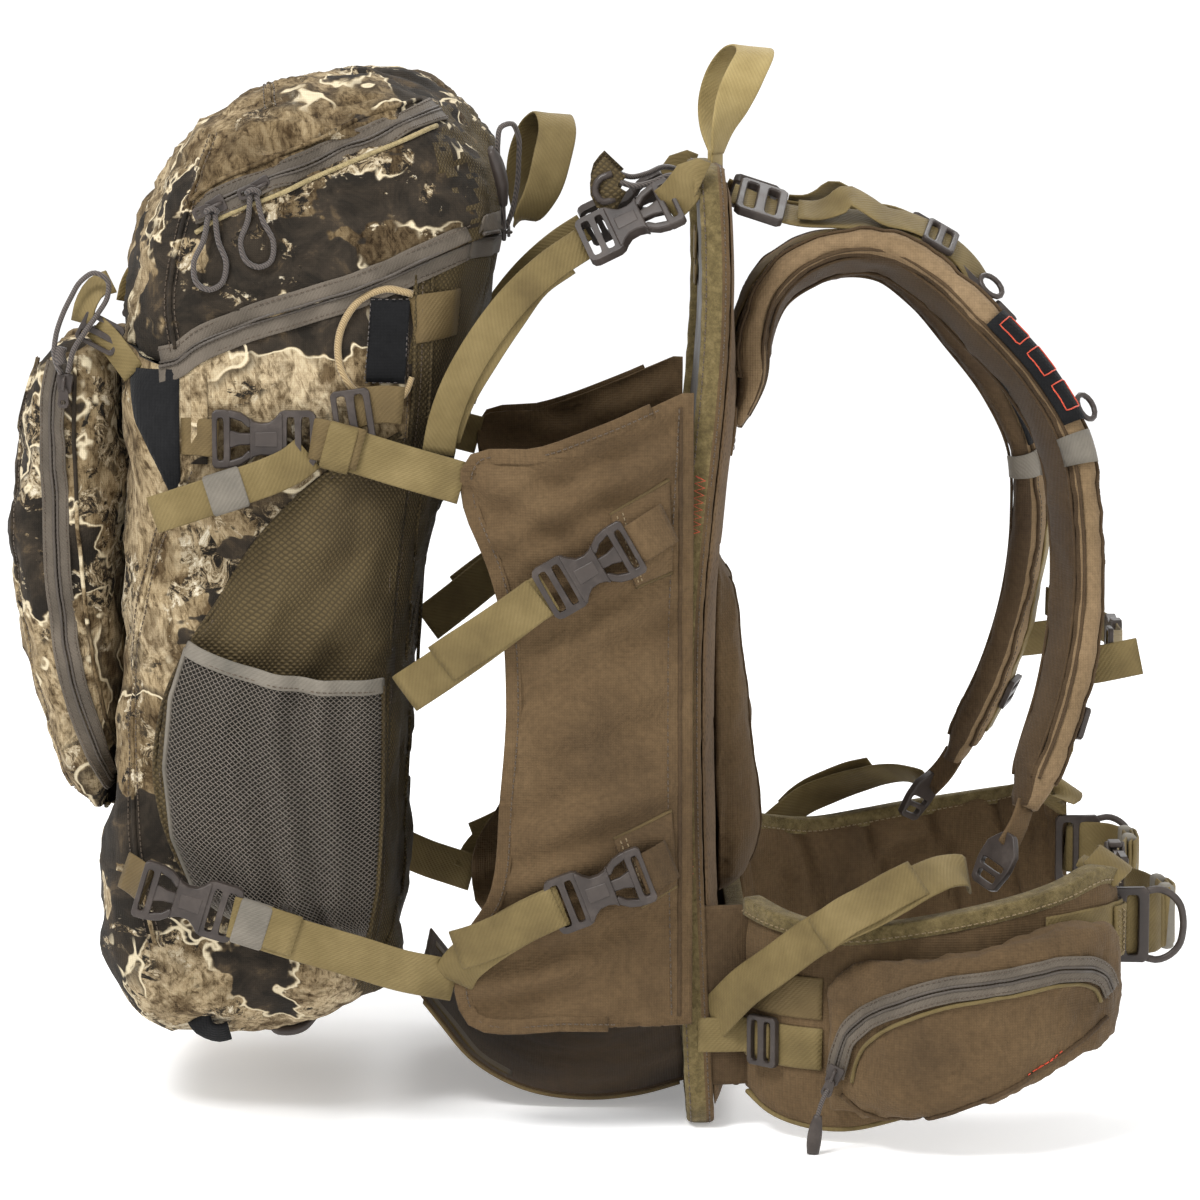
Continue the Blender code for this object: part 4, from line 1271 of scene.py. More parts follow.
def buckle_tab(label, side, name, corners):
    """Folded cloth tab that holds a buckle on the wing, edged with piping."""
    (x0, z0), (x1, z1), (x2, z2), (x3, z3) = corners
    rows = []
    for i in range(22):
        f = i / 21
        row = []
        for j in range(15):
            g = j / 14
            x = (x0 * (1 - g) + x3 * g) * (1 - f) + (x1 * (1 - g) + x2 * g) * f
            z = (z0 * (1 - g) + z3 * g) * (1 - f) + (z1 * (1 - g) + z2 * g) * f
            dome = 3.0 * (1 - (2 * g - 1) ** 6) * (1 - f * 0.6)
            lift = 1.4 + dome * (1 - 0.4 * math.exp(-((f - 0.12) / 0.06) ** 2))
            lift += 0.6 * noise.noise(Vector((x, z, side)) * 0.08)
            row.append(wing_point(x, z, side, lift))
        rows.append(row)
    cloth = loft("tab_%s_%s" % (label, name), rows, "brown", closed=False)
    thicken(cloth, 0.0022, -0.5)
    attach(cloth, "frame")
    for end, tag in ((0, "upper"), (-1, "lower")):
        edge = np.array([row[end] for row in rows])
        piece = tube("tab_piping_%s_%s_%s" % (label, tag, name), edge, 1.15, "webbing_dark", 6)
        attach(piece, "frame")
    for f in (0.10, 0.22):
        index = int(f * 21)
        line = np.array(rows[index])[1:-1] + np.array((0, side * 0.9, 0))
        attach(stitches("tab_stitch_%s_%d_%s" % (label, index, name), line, (0, side, 0),
                        "thread", 3.0, 2.0, 0.8), "frame")


# ---------------------------------------------------------------- hardware
def turned(axis, degrees):
    """A turn about an axis in degrees."""
    return Matrix.Rotation(math.radians(degrees), 4, axis)


def upright(centre):
    """Matrix for a plate that faces the wearer's front, u along Y."""
    return Matrix.Translation(centre) @ turned("Z", 90) @ turned("X", 90)


def placed(centre, slope, side):
    """Matrix for a plate that lies on a side: u along the slope, v up, thickness outward."""
    turn = turned("Y", -slope) @ turned("X", 90)
    if side > 0:
        turn = turn @ Matrix.Scale(-1, 4, (0, 0, 1))
    x, y, z = centre
    return Matrix.Translation((x, y * side, z)) @ turn


def axes(centre, along, across, out):
    """Matrix for a plate whose u, v and thickness lie along three directions."""
    basis = Matrix([[along[i], across[i], out[i]] for i in range(3)]).to_4x4()
    return Matrix.Translation(Vector(centre)) @ basis


def mirrored(half):
    """The same points on the wearer's left."""
    return half + [(u, -v) for u, v in reversed(half)]


def oval(u, v, a, b, count=14, power=2.0):
    """An outline from a circle (power 2) to nearly a rectangle, centred on (u, v)."""
    return [(u + a * bent(c, 2 / power), v + b * bent(s, 2 / power)) for c, s in circle(count)]


def side_release(label, node, centre, slope, side, how, tilt=0):
    """A two-part side-release buckle: ladder bars, housing, side windows and tongues."""
    base = placed(centre, slope, side) @ turned("X", tilt)
    ladder = mirrored([(-30, 13.2), (-28.6, 15.6), (-26, 16.6), (-12, 16.6), (-9, 15.4)])
    slots = [oval(-24.2, 0, 2.6, 13.0, 16, 6), oval(-15.6, 0, 2.4, 13.0, 16, 6)]
    parts = [plate(label + "_a", ladder, 6.4, base, "plastic", slots, 1.5, 3)]
    housing = mirrored([(-11, 15.4), (-9, 15.0), (-6.5, 12.2), (-3, 9.6), (2, 9.2), (6, 10.4), (8, 12.4)])
    parts.append(plate(label + "_b", housing, 8.6, base, "plastic", (), 2.4, 4))
    rib = mirrored([(-8, 4.6), (5, 4.2)])
    lifted = base @ Matrix.Translation((0, 0, 4.0))
    parts.append(plate(label + "_c", rib, 1.6, lifted, "plastic", (), 0.7, 2))
    for v in (-1, 1):
        arm = [(5, v * 8.2), (8, v * 11.6), (13, v * 15.2), (19, v * 16.8), (23, v * 16.6), (23, v * 12.6),
               (19, v * 12.2), (13, v * 10.2), (9, v * 6.4)]
        arm = arm if v > 0 else arm[::-1]
        parts.append(plate(label + "_d", arm, 6.0, base, "plastic", (), 1.3, 3))
    tongue = mirrored([(4, 3.4), (14, 3.6), (20, 5.4), (22, 6.0)])
    parts.append(plate(label + "_e", tongue, 4.6, base, "plastic", (), 1.2, 2))
    tail = mirrored([(19.5, 15.6), (21, 17.0), (28, 17.0), (30, 15.4)])
    parts.append(plate(label + "_f", tail, 6.4, base, "plastic",
                       [oval(25.2, 0, 1.9, 12.5, 14, 6)], 1.3, 3))
    obj = join(label, parts)
    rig.slot(obj, "hardware")
    if node:
        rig.replaces(obj, node)
    attach(obj, how)
    return obj


def small_buckle(label, base, how, s=1.0):
    """A small ladder-lock buckle with two bars, s times its usual size."""
    rim = mirrored([(-11 * s, 13 * s), (-9 * s, 15 * s), (9 * s, 15 * s), (11 * s, 13 * s)])
    holes = [oval(-5.2 * s, 0, 2.6 * s, 12 * s, 14, 6), oval(4.6 * s, 0, 2.6 * s, 12 * s, 14, 6)]
    attach(plate(label, rim, 4.2 * s, base, "plastic", holes, 1.1 * s, 3), how)


def keeper(label, centre, along, out, half, how, mat="rubber", length=12, thick=4.6):
    """A band that holds a strap's loose layers together, centred on the strap."""
    along, out = unit([along])[0], unit([out])[0]
    across = np.cross(along, out)
    rings = []
    for k in (-1, -0.9, 0.9, 1):
        shrink = 0.9 if abs(k) == 1 else 1.0
        rings.append([np.array(centre) + along * k * length / 2 + across * a * (half + 1.2) * shrink
                      + out * b * thick / 2 * shrink for a, b in STRAP_PROFILE])
    obj = loft(label, rings, mat)
    attach(obj, how)
    return obj


def side_strap(label, points, side, mat="webbing", half=12.5, thick=1.7, how="bag", node=None, wave=0.8):
    """A webbing strap lying on a side: (x, y outward, z) points."""
    obj = ribbon(label, onto(side, points), half, thick, (0, side, 0), mat, wave=wave,
                 seed=points[0][0] * 0.1)
    if node:
        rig.replaces(obj, node)
    attach(obj, how)
    return obj


def compression(side, name):
    """Wing straps, top straps and their buckles on one side."""
    strap_how = ("squash", "bag_compress", (1, 0, 0), (-0.0915, 0, 0), 0.30)
    upper = [(-176, 159.6, 262), (-158, 169, 275), (-137, 180.5, 291), (-115, 186, 308),
             (-97.5, 187.2, 321), (-90.8, 187.4, 325)]
    side_strap("wing_strap_web_" + name, upper, side, how=strap_how, node="wing_strap_" + name, wave=0.5)
    fold = [(-96.5, 189.6, 322.5), (-108, 189.2, 314), (-128, 186.6, 300), (-146, 179.5, 287.5),
            (-154, 175.6, 281.5)]
    side_strap("wing_strap_fold_" + name, fold, side, how=strap_how, wave=0.9)
    side_release("wing_buckle_a_" + name, "wing_buckle_upper_" + name, (-68.5, 187, 337.5), 30, side,
                 "frame")
    side_release("wing_buckle_b_" + name, "wing_buckle_lower_" + name, (-62, 187, 150.5), 21, side, "frame")
    through = [(-44, 187.0, 351.6), (-39, 188, 354.6), (-34, 186, 357.6), (-28, 181, 361), (-22, 175, 364)]
    side_strap("wing_tab_web_a_" + name, through, side, mat="brown", how="frame", wave=0, half=12)
    through = [(-38.6, 187.2, 159.4), (-34, 187.6, 161.3), (-29, 184, 163.4), (-23, 176, 165.6),
               (-20, 173, 166.8)]
    side_strap("wing_tab_web_b_" + name, through, side, mat="brown", how="frame", wave=0, half=12)
    lower = [(-148, 171.5, 94), (-143, 178, 104), (-128, 184.5, 118), (-108, 187.5, 131), (-92, 188, 139),
             (-83.5, 187.6, 142.3)]
    side_strap("lower_strap_web_" + name, lower, side, how=strap_how, wave=0.4)
    tail = [(-86, 190.2, 141.6), (-98, 190.4, 136), (-116, 189.4, 127), (-134, 186, 118.5),
            (-146, 181, 114)]
    side_strap("lower_strap_tail_" + name, tail, side, how=strap_how, wave=1.0, half=12)
    top_how = squash_to(-69.5, 87)
    top = [(-156, 153.6, 402), (-153, 153.4, 418), (-147, 154, 436), (-132, 154, 464), (-106, 151, 497),
           (-86, 148, 514), (-72, 146.4, 523)]
    side_strap("top_strap_web_" + name, top, side, half=9.5, how=top_how, node="top_strap_" + name,
               wave=0.4)
    under = [(-150, 151, 410), (-142, 151.4, 432), (-128, 151.6, 456), (-112, 150, 480), (-97, 148, 500),
             (-80, 145.6, 512)]
    side_strap("top_strap_tail_" + name, under, side, half=7.0, thick=1.5, how=top_how, wave=1.6)
    side_release("top_buckle_body_" + name, "top_buckle_" + name, (-44.5, 146, 535.6), 26, side, "frame",
                 -40)
    loop = [(-24, 146.5, 545), (-19, 148, 549), (-13, 151, 556), (-8, 154, 562), (-3, 156.5, 560)]
    side_strap("top_anchor_" + name, loop, side, how="frame", half=11, wave=0)


def frame_top(side, name):
    """Webbing bands, the shock-cord tab and its cord at the frame's top corner."""
    for k, (z0, z1, half) in enumerate(((512, 516, 9), (493, 496, 6.5))):
        rows = [(frame_x(z0) - 3.4, side * 120, z0), (frame_x(z0) - 3.8, side * 136, z0 + 1),
                (frame_x(z1) - 3.4, side * 148, z1)]
        attach(ribbon("frame_band_%d_%s" % (k, name), rows, half, 1.5, (-1, 0, 0), "webbing_dark"), "frame")
    foot = [(8.5, side * 33.6, z) for z in (560, 565, 570, 575.5)]
    attach(ribbon("haul_foot_" + name, foot, 11.6, 1.9, (0.95, -0.3, 0), "webbing_light", wave=0), "frame")
    tab = [(-53, 118, 567), (-59, 119, 560), (-59, 120.5, 551), (-51, 122, 545)]
    rows = onto(side, tab)
    attach(ribbon("shock_tab_" + name, rows, 9, 2.4, (-0.4, side, 0), "olive", wave=0.8), "frame")
    cord = [(-7, 147, 556), (-14, 138, 561), (-22, 130, 562), (-32, 124.4, 558), (-42, 121.4, 556),
            (-52, 119.6, 559)]
    rows = onto(side, cord)
    cord = tube("shock_cord_" + name, rows, 1.8, "cord", step=2.0)
    attach(cord, "frame")
    hook = [(-55, 119.5, 563), (-62, 120, 560), (-65, 120.5, 553), (-61, 121, 547), (-53, 121, 548)]
    rows = onto(side, hook)
    hook = tube("shock_hook_" + name, rows, 2.2, "plastic")
    attach(hook, "frame")
    free_cord(cord, 1.8, "fitting", "taut", (hook,))


HAUL_ROWS = [(9, -34, 573.2, 0.3, 0.95, 0), (12, -35, 588, 0.6, 0.8, 0), (18, -34, 604, 0.9, 0.4, 0),
             (26, -28, 621, 1, 0.1, 0), (32, -16, 633, 1, 0, -0.05), (31, 0, 637, 1, 0, -0.1),
             (24, 14, 634.5, 1, 0.1, -0.1), (15, 26, 624, 0.95, 0.3, 0), (9, 32, 606, 0.9, 0.45, 0),
             (7, 34, 588, 0.6, 0.8, 0), (9, 34, 573.2, 0.3, 0.95, 0)]
BAG_LOOP_ROWS = [(-113, -25, 532, 0.2, 0.9, 0.3), (-106, -27, 537, 0.3, 0.7, -0.5),
                 (-97, -26.5, 551, 0.8, 0.4, -0.4), (-91, -22, 571, 1, 0.1, -0.25),
                 (-88, -12, 589, 1, 0, -0.2), (-91, 0, 596.5, 1, 0.05, -0.1), (-98, 12, 592, 1, 0.1, 0),
                 (-106, 20, 578, 0.95, 0.3, 0), (-111, 25, 560, 0.7, 0.6, 0), (-113, 26, 545, 0.4, 0.9, 0),
                 (-112, 26, 532, 0.2, 0.95, 0)]


def standing_loop(label, node, keys, body, mat, half=11.6):
    """A webbing carry loop that stands up from two feet, twisting as it turns over."""
    rows = resample(keys, 64)
    along = tangents(rows[:, :3])
    across = unit(rows[:, 3:6] - along * (rows[:, 3:6] * along).sum(axis=1)[:, None])
    out = np.cross(across, along)
    rings = [r[:3] + c * STRAP_PROFILE[:, :1] * half + n * STRAP_PROFILE[:, 1:] * 0.95
             for r, c, n in zip(rows, across, out)]
    obj = loft(label, rings, mat)
    set_uv(obj, rows, np.full(len(rows), half))
    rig.replaces(obj, node)
    attach(obj, body)


# ---------------------------------------------------------------- bag
BAG_RINGS = [((-318, 46), (-228, 52), 95), ((-350, 68), (-192, 76), 130), ((-362, 118), (-188, 118), 145),
             ((-360, 165), (-188, 166), 150), ((-351, 208), (-184, 225), 150),
             ((-347, 264), (-181, 279), 150), ((-345, 324), (-170, 326), 150),
             ((-344, 383), (-158, 385), 150), ((-344, 420), (-147, 436), 149)]
RIM = [(-344, 466), (-330, 456), (-312, 451), (-300, 459), (-260, 478), (-213, 492), (-124, 529)]
LID_RINGS = [((-342, 500), (-124, 552), 146), ((-334, 542), (-133, 584), 143),
             ((-308, 582), (-152, 607), 126), ((-268, 608), (-182, 621), 92),
             ((-238, 618), (-208, 624), 45)]
SEAM = [(-169, 505), (-171, 433), (-177, 378), (-182, 339), (-185, 308), (-189, 239), (-193, 168),
        (-197, 112), (-206, 84)]
AROUND = 150


def rim_z(x):
    """Height of the lid's rim."""
    return float(np.interp(x, *zip(*RIM)))


def rounded_section(front, rear, half, power, rim=0.0, count=AROUND):
    """Evenly spaced superellipse section from a front to a rear edge point."""
    a = np.linspace(0, 2 * math.pi, 1441)
    c = np.copysign(np.abs(np.cos(a)) ** (2 / power), np.cos(a))
    s = np.copysign(np.abs(np.sin(a)) ** (2 / power), np.sin(a))
    middle, reach = (front[0] + rear[0]) / 2, (rear[0] - front[0]) / 2
    x, y = middle - reach * c, half * s
    length = np.r_[0, np.cumsum(np.hypot(np.diff(x), np.diff(y)))]
    wanted = np.linspace(0, length[-1], count, endpoint=False)
    x, y = np.interp(wanted, length, x), np.interp(wanted, length, y)
    share = (x - front[0]) / (rear[0] - front[0])
    z = front[1] + (rear[1] - front[1]) * share
    if rim:
        z = np.array([rim_z(v) for v in x]) + rim
    return np.column_stack([x, y, z])


def between(keys, count, power):
    """Sections smoothly interpolated between key sections (front x, z, rear x, z, half width)."""
    table = np.array([(f[0], 0, f[1], r[0], r[1], h) for f, r, h in keys], float)
    rows = resample(table, count)
    return [rounded_section((r[0], r[2]), (r[3], r[4]), r[5], power) for r in rows]


def shell(name, rings, mats, wall, cap_low=False, cap_top=False, layers=()):
    """A soft shell with thickness: closing rings at an end, rumpled, then thickened inwards."""
    rings = [np.array(r) for r in rings]
    if cap_low:
        centre = rings[0].mean(axis=0)
        rings = [centre + (rings[0] - centre) * f + np.array((0, 0, -1.5 * (1 - f)))
                 for f in (0.04, 0.3, 0.55, 0.78, 0.93)] + rings
    if cap_top:
        centre = rings[-1].mean(axis=0)
        rings += [centre + (rings[-1] - centre) * f + np.array((0, 0, 1.0 * (1 - f)))
                  for f in (0.85, 0.6, 0.35, 0.12, 0.03)]
    obj = loft(name, rings, mats[0], caps=(cap_low, cap_top))
    rumple(obj, *layers)
    inner = len(mats)
    paint(obj, *mats, "lining")
    modify(obj, "SOLIDIFY", thickness=wall * MM, offset=-1, material_offset=inner,
           material_offset_rim=inner)
    smooth_faces(obj)
    return obj


def bag_body():
    """The main bag: camo front and sides, ballistic cloth behind the rear seams."""
    rings = between(BAG_RINGS, 64, 5.0)
    last = rings[-1]
    rim = rounded_section((-344, 466), (-126, 529), 147, 5.0, rim=0.01)
    rings += [last * (1 - f) + rim * f for f in (0.25, 0.5, 0.75, 1.0)]
    layers = [(95, 7.0, 2.0), (40, 3.0, 5.0, (1, 1, 0.7)), (26, 2.6, 11.0, (1.2, 0.4, 0.6), True)]
    obj = shell("bag_body", rings, ("camo", "olive", "camo_low"), 3.2, cap_low=True, layers=layers)
    for face in obj.data.polygons[:]:
        if face.material_index:
            continue
        x, _, z = face.center / MM
        if x > x_at(z, SEAM) or (face.normal.x > 0.75 and x > -200):
            face.material_index = 1
        elif z < 150:
            face.material_index = 2
    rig.replaces(obj, "bag_shell")
    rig.padded(obj, 0.3)
    attach(obj, "bag")
    return Skin(obj)


def panel_folds(x, z):
    """Outward folds of the side panel: long diagonal ridges that the load pulls up to the strap."""
    value = 0.0
    for x0, z0, slope, size, width, reach in ((-205, 322, 0.62, 4.5, 9, 60), (-238, 330, 0.58, 3.6, 11, 52),
                                             (-196, 262, 0.66, 3.8, 8, 46), (-262, 300, 0.5, 2.6, 9, 40)):
        along = (x - x0) * 0.52 + (z - z0) * 0.85
        off = (x - x0) * 0.85 - (z - z0) * slope
        value += size * math.exp(-(off / width) ** 2 - (along / reach) ** 2)
    return value


def patch(name, skin, side, left, right, low, high, lift, mat, thick=1.0, step=4.0, how="bag", folds=None):
    """A cloth panel laid on a side between two curves x(z)."""
    rows = []
    heights = np.arange(low, high + 0.01, step)
    lx, rx = x_at(heights, left), x_at(heights, right)
    across = max(6, int(max(abs(rx - lx)) / step))
    for z, x0, x1 in zip(heights, lx, rx):
        line = [(x0 + (x1 - x0) * k / across, z) for k in range(across + 1)]
        spots, _ = skin.lay(line, lift, side=side)
        if folds:
            spots[:, 1] += [side * folds(p[0], p[2]) * min(1, k / 4, (across - k) / 4)
                            for k, p in enumerate(spots)]
        rows.append(spots)
    obj = loft(name, rows, mat, closed=False)
    thicken(obj, thick * MM)
    smooth_faces(obj)
    attach(obj, how)
    return obj


def laid_ribbon(name, skin, points, half, thick, mat, side, lift=0.8, step=5.0):
    """A flat band of the bag laid on a side."""
    spots, outs = skin.lay(dense(points, step), lift, side=side)
    attach(ribbon(name, spots, half, thick, outs, mat, count=len(spots)), "bag")


def laid_tube(name, skin, points, radius, mat, sides, side, lift, how="bag", step=5.0):
    """A round seam, piping or cord laid on a side."""
    obj = tube(name, skin.lay(dense(points, step), lift, side=side)[0], radius, mat, sides)
    attach(obj, how)
    return obj


def seam(name, skin, points, side=None, toward=None, how="bag", mat="olive", rows=2, width=3.2):
    """A turned seam: a raised cord of cloth with a stitch row on each side."""
    spots, outs = skin.lay(dense(points, 5.0), 0.3, side=side, toward=toward)
    attach(tube(name + "_ridge", spots, 1.5, mat, 6), how)
    across, out = frame_along(spots, outs)
    for k, sign in enumerate((-1, 1)[:rows]):
        attach(stitches("%s_stitch_%d" % (name, k), spots + across * sign * width + out * 0.3, outs,
                        "thread_dark", 3.4, 2.3, 0.7), how)


def coil(name, line, small, large, how):
    """A zip's coil: a line whose radius goes from small to large and back at every step."""
    size = np.where(np.arange(len(line)) % 2, large, small)
    attach(tube(name, np.column_stack([line, size]), 1.2, "coil", 6, smooth=False), how)


def zip_line(name, spots, outs, width, hows, mat="tape", gap=0.5):
    """A coil zip: two tape halves with a toothed coil on each inner edge."""
    across, out = frame_along(spots, outs)
    for tag, sign, how in (("a", -1, hows[0]), ("b", 1, hows[1])):
        middle = spots + across * sign * (width / 4 + gap / 4) + out * 0.7
        attach(ribbon("%s_tape_%s" % (name, tag), middle, width / 4 - gap / 4, 1.3, out, mat,
                      count=len(spots)), how)
        line = resample(spots + across * sign * (gap / 2 + 0.9) + out * 1.3, 3 + int(len(spots) * 5 / 1.3))
        coil("%s_coil_%s" % (name, tag), line, 0.75, 1.1, how)
        edge = spots + across * sign * (width / 2 - 1.6) + out * 1.5
        attach(stitches("%s_stitch_%s" % (name, tag), edge, outs, "thread_dark", 3.4, 2.3, 0.6), how)


def cord_loop(name, top, drop, spread, side, how, radius=1.6, lean=0.0, mat="cord"):
    """A teardrop pull of cord that hangs from a slider, on the surface's outside."""
    x, y, z = top
    path = [(-1.8, 0.2, 0), (-0.42, 0.4, -0.35), (-0.95, 0.8, -0.68), (-0.62, 0.8, -0.94), (0.0, 0.8, -1.0),
            (0.62, 0.8, -0.94), (0.95, 0.8, -0.68), (0.42, 0.6, -0.35), (1.8, 0.4, 0)]
    points = [(x + (u if abs(u) > 1 else u * spread) - lean * w, y + side * v, z + w * drop)
              for u, v, w in path]
    obj = tube(name, points, radius, mat, 8, step=2.0)
    attach(obj, how)
    over = [(x - 3.6, y + side * 0.6, z + 0.5), (x - 1.5, y + side * 2.8, z + 2.5),
            (x + 1.5, y + side * 2.8, z + 2.5), (x + 3.6, y + side * 0.6, z + 0.5)]
    knot = tube(name + "_hitch", over, radius, mat, 8, step=1.5)
    attach(knot, how)
    free_cord(obj, radius, "object", "hanging", (knot,))
    return obj


def slider(name, node, centre, direction, out, how, pull=14.0):
    """A zip slider: body with two wings, bridge and a pull tab hanging from it."""
    d, n = unit([direction])[0], unit([out])[0]
    base = axes(centre, d, np.cross(n, d), n)
    body = mirrored([(-6, 2.8), (-4.5, 4.0), (0, 4.4), (4, 5.2), (6, 4.6)])
    parts = [plate(name + "_a", body, 2.6, base, "plastic", (), 0.8, 2)]
    bridge = [base @ Vector(p) for p in ((-4, 0, 1), (-3, 0, 3.6), (0, 0, 4.2), (3, 0, 3.6), (4, 0, 1))]
    parts.append(tube(name + "_b", bridge, 1.0, "plastic", 8, step=1.2))
    tab_at = base @ Matrix.Translation((-pull * 0.5 - 2, 0, 2.6))
    tab = mirrored([(-pull / 2, 2.2), (-pull / 2 + 2, 3.4), (pull / 2 - 2, 2.8), (pull / 2, 1.6)])
    parts.append(plate(name + "_c", tab, 1.8, tab_at, "plastic", [oval(-pull / 2 + 3.4, 0, 1.4, 1.6, 10)],
                       0.5, 2))
    obj = join(name, parts)
    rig.slot(obj, "hardware")
    if node:
        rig.replaces(obj, node)
    attach(obj, how)
    return obj


def lid():
    """The lid: a domed shell with its own pocket zip and seams."""
    rim = rounded_section((-344, 466), (-124, 529), 147, 5.0, rim=0.8)
    keys = [rounded_section(f, r, h, 4.2 - 0.35 * k) for k, (f, r, h) in enumerate(LID_RINGS)]
    stack = np.array([rim] + keys)
    distance = run(stack.mean(axis=1)) + np.cumsum((0, 6, 8, 22, 34, 40))
    rows = hermite(stack.reshape(len(stack), -1), distance, np.linspace(0, distance[-1], 58))
    rings = list(rows.reshape(len(rows), AROUND, 3))
    layers = [(80, 8.0, 21.0), (36, 3.5, 25.0, (1, 1, 1.3)), (24, 3.0, 31.0, (0.5, 0.8, 1.3), True)]
    obj = shell("lid_body", rings, ("camo_lid", "olive"), 2.6, cap_top=True, layers=layers)
    for face in obj.data.polygons:
        if not face.material_index and face.normal.x > 0.7 and face.center.x > -0.165:
            face.material_index = 1
    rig.replaces(obj, "lid_shell")
    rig.padded(obj, 0.4)
    attach(obj, "lid")
    skin = Skin(obj)
    for side, name in SIDES:
        line = [(-296, 539), (-287, 545), (-274, 551), (-242, 564), (-207, 579), (-178, 591), (-158, 600)]
        spots, outs = skin.lay(dense(line, 5.0), 0.4, side=side)
        zip_line("lid_zip_" + name, spots, outs, 17, ("lid", "lid"))
        piping = [(x, z - 9.8) for x, z in line]
        laid_tube("lid_piping_" + name, skin, piping, 1.5, "piping", 7, side, 0.9, "lid")
        upper = [(-300, 548), (-283, 559), (-262, 568), (-230, 581), (-196, 597), (-168, 606)]
        laid_tube("lid_flap_edge_" + name, skin, upper, 1.6, "camo_lid", 6, side, 0.5, "lid")
        vertical = [(-309, 462), (-312, 490), (-305, 530), (-296, 560), (-288, 585)]
        seam("lid_front_seam_" + name, skin, vertical, side=side, how="lid", mat="camo_lid")
    over = [(-262 + 0.0006 * y * y, y, 700) for y in np.linspace(-110, 110, 40)]
    seam("lid_top_seam", skin, over, toward=(0, 0, -1), how="lid", mat="camo_lid")
    return skin


def lid_pulls():
    """Sliders and cord pulls of the lid pocket."""
    slider("lid_slider_body", "lid_slider", (-284, -149.8, 545.5), (1, 0, 0.45), (0, -1, 0), "lid_slider",
           12)
    cord_loop("lid_pull_loop_a", (-286, -151.5, 541), 44, 10, -1, "lid_slider", lean=-2)
    slider("lid_slider_two", None, (-258, -148.9, 556.5), (1, 0, 0.45), (0, -1, 0), "lid", 12)
    cord_loop("lid_pull_loop_b", (-262, -151.6, 552), 42, 10, -1, "lid", lean=3)
    cord_loop("lid_pull_loop_c", (-258, 151.6, 553), 42, 9, 1, "lid", lean=3)
    slider("lid_slider_three", None, (-254, 149, 557.5), (1, 0, 0.45), (0, 1, 0), "lid", 12)


def main_zip(bag_skin, lid_skin):
    """The main zip along the rim; its lower half stays on the bag and its upper half on the lid."""
    for side, name in SIDES:
        line = [(-318, 452.5), (-306, 456), (-300, 461), (-271, 475), (-236, 486), (-201, 497), (-166, 512),
                (-147, 520.4), (-139, 523.8)]
        for tag, offset, skin, how in (("low", -5.6, bag_skin, "bag"), ("top", 5.6, lid_skin, "lid")):
            points = [(x, z + offset) for x, z in dense(line, 5.0)]
            spots, outs = skin.lay(points, 0.9, side=side)
            attach(ribbon("main_tape_%s_%s" % (tag, name), spots, 5.2, 1.3, outs, "tape", count=len(spots)),
                   how)
            _, out = frame_along(spots, outs)
            toward = np.array((0, 0, 1 if offset < 0 else -1), float)
            teeth = resample(spots + toward * 4.5 + out * 0.7, int(len(spots) * 5 / 1.3))
            coil("main_coil_%s_%s" % (tag, name), teeth, 0.75, 1.15, how)
            edge = spots - toward * 3.2 + out * 0.8
            attach(stitches("main_stitch_%s_%s" % (tag, name), edge, outs, "thread_dark", 3.4, 2.3, 0.6),
                   how)
    for tag, z, skin, how in (("low", 519, bag_skin, "bag"), ("top", 534, lid_skin, "lid")):
        spots, outs = skin.lay([(0, y, z) for y in np.linspace(-128, 128, 44)], 0.8, toward=(-1, 0, 0))
        attach(ribbon("main_tape_rear_" + tag, spots, 5.4, 1.3, outs, "tape", count=len(spots)), how)
        sign = 1 if tag == "low" else -1
        coil("main_coil_rear_" + tag, resample(spots + np.array((1.2, 0, sign * 5.4)), 190), 0.95, 1.4, how)
    slider("main_slider_body", "main_slider", (-119.4, -62, 527), (0, -1, 0), (1, 0, 0), "main_slider", 12)
    pull = [(-118, -67, 530), (-114, -75, 541), (-111, -83, 556), (-110, -91, 571), (-110, -98, 584),
            (-114, -104, 592), (-120, -107, 590), (-122, -106, 580), (-121.5, -99, 566), (-120, -90, 552),
            (-119.5, -80, 539), (-119.5, -72, 529.5)]
    loop = tube("main_pull_loop", pull, 1.6, "cord", 8, step=2)
    attach(loop, "main_slider")
    free_cord(loop, 1.6, "object", "hanging")
    grip = [(-119, -95, 545), (-120, -102, 558), (-123, -108, 570), (-126, -113, 577)]
    rows = np.column_stack([np.array(grip, float), [4.8, 7.2, 7.0, 3.8]])
    attach(tube("main_pull_grip", rows, 5, "plastic", 10, step=2, flat=0.55, hint=(1, 0, 0)), "main_slider")


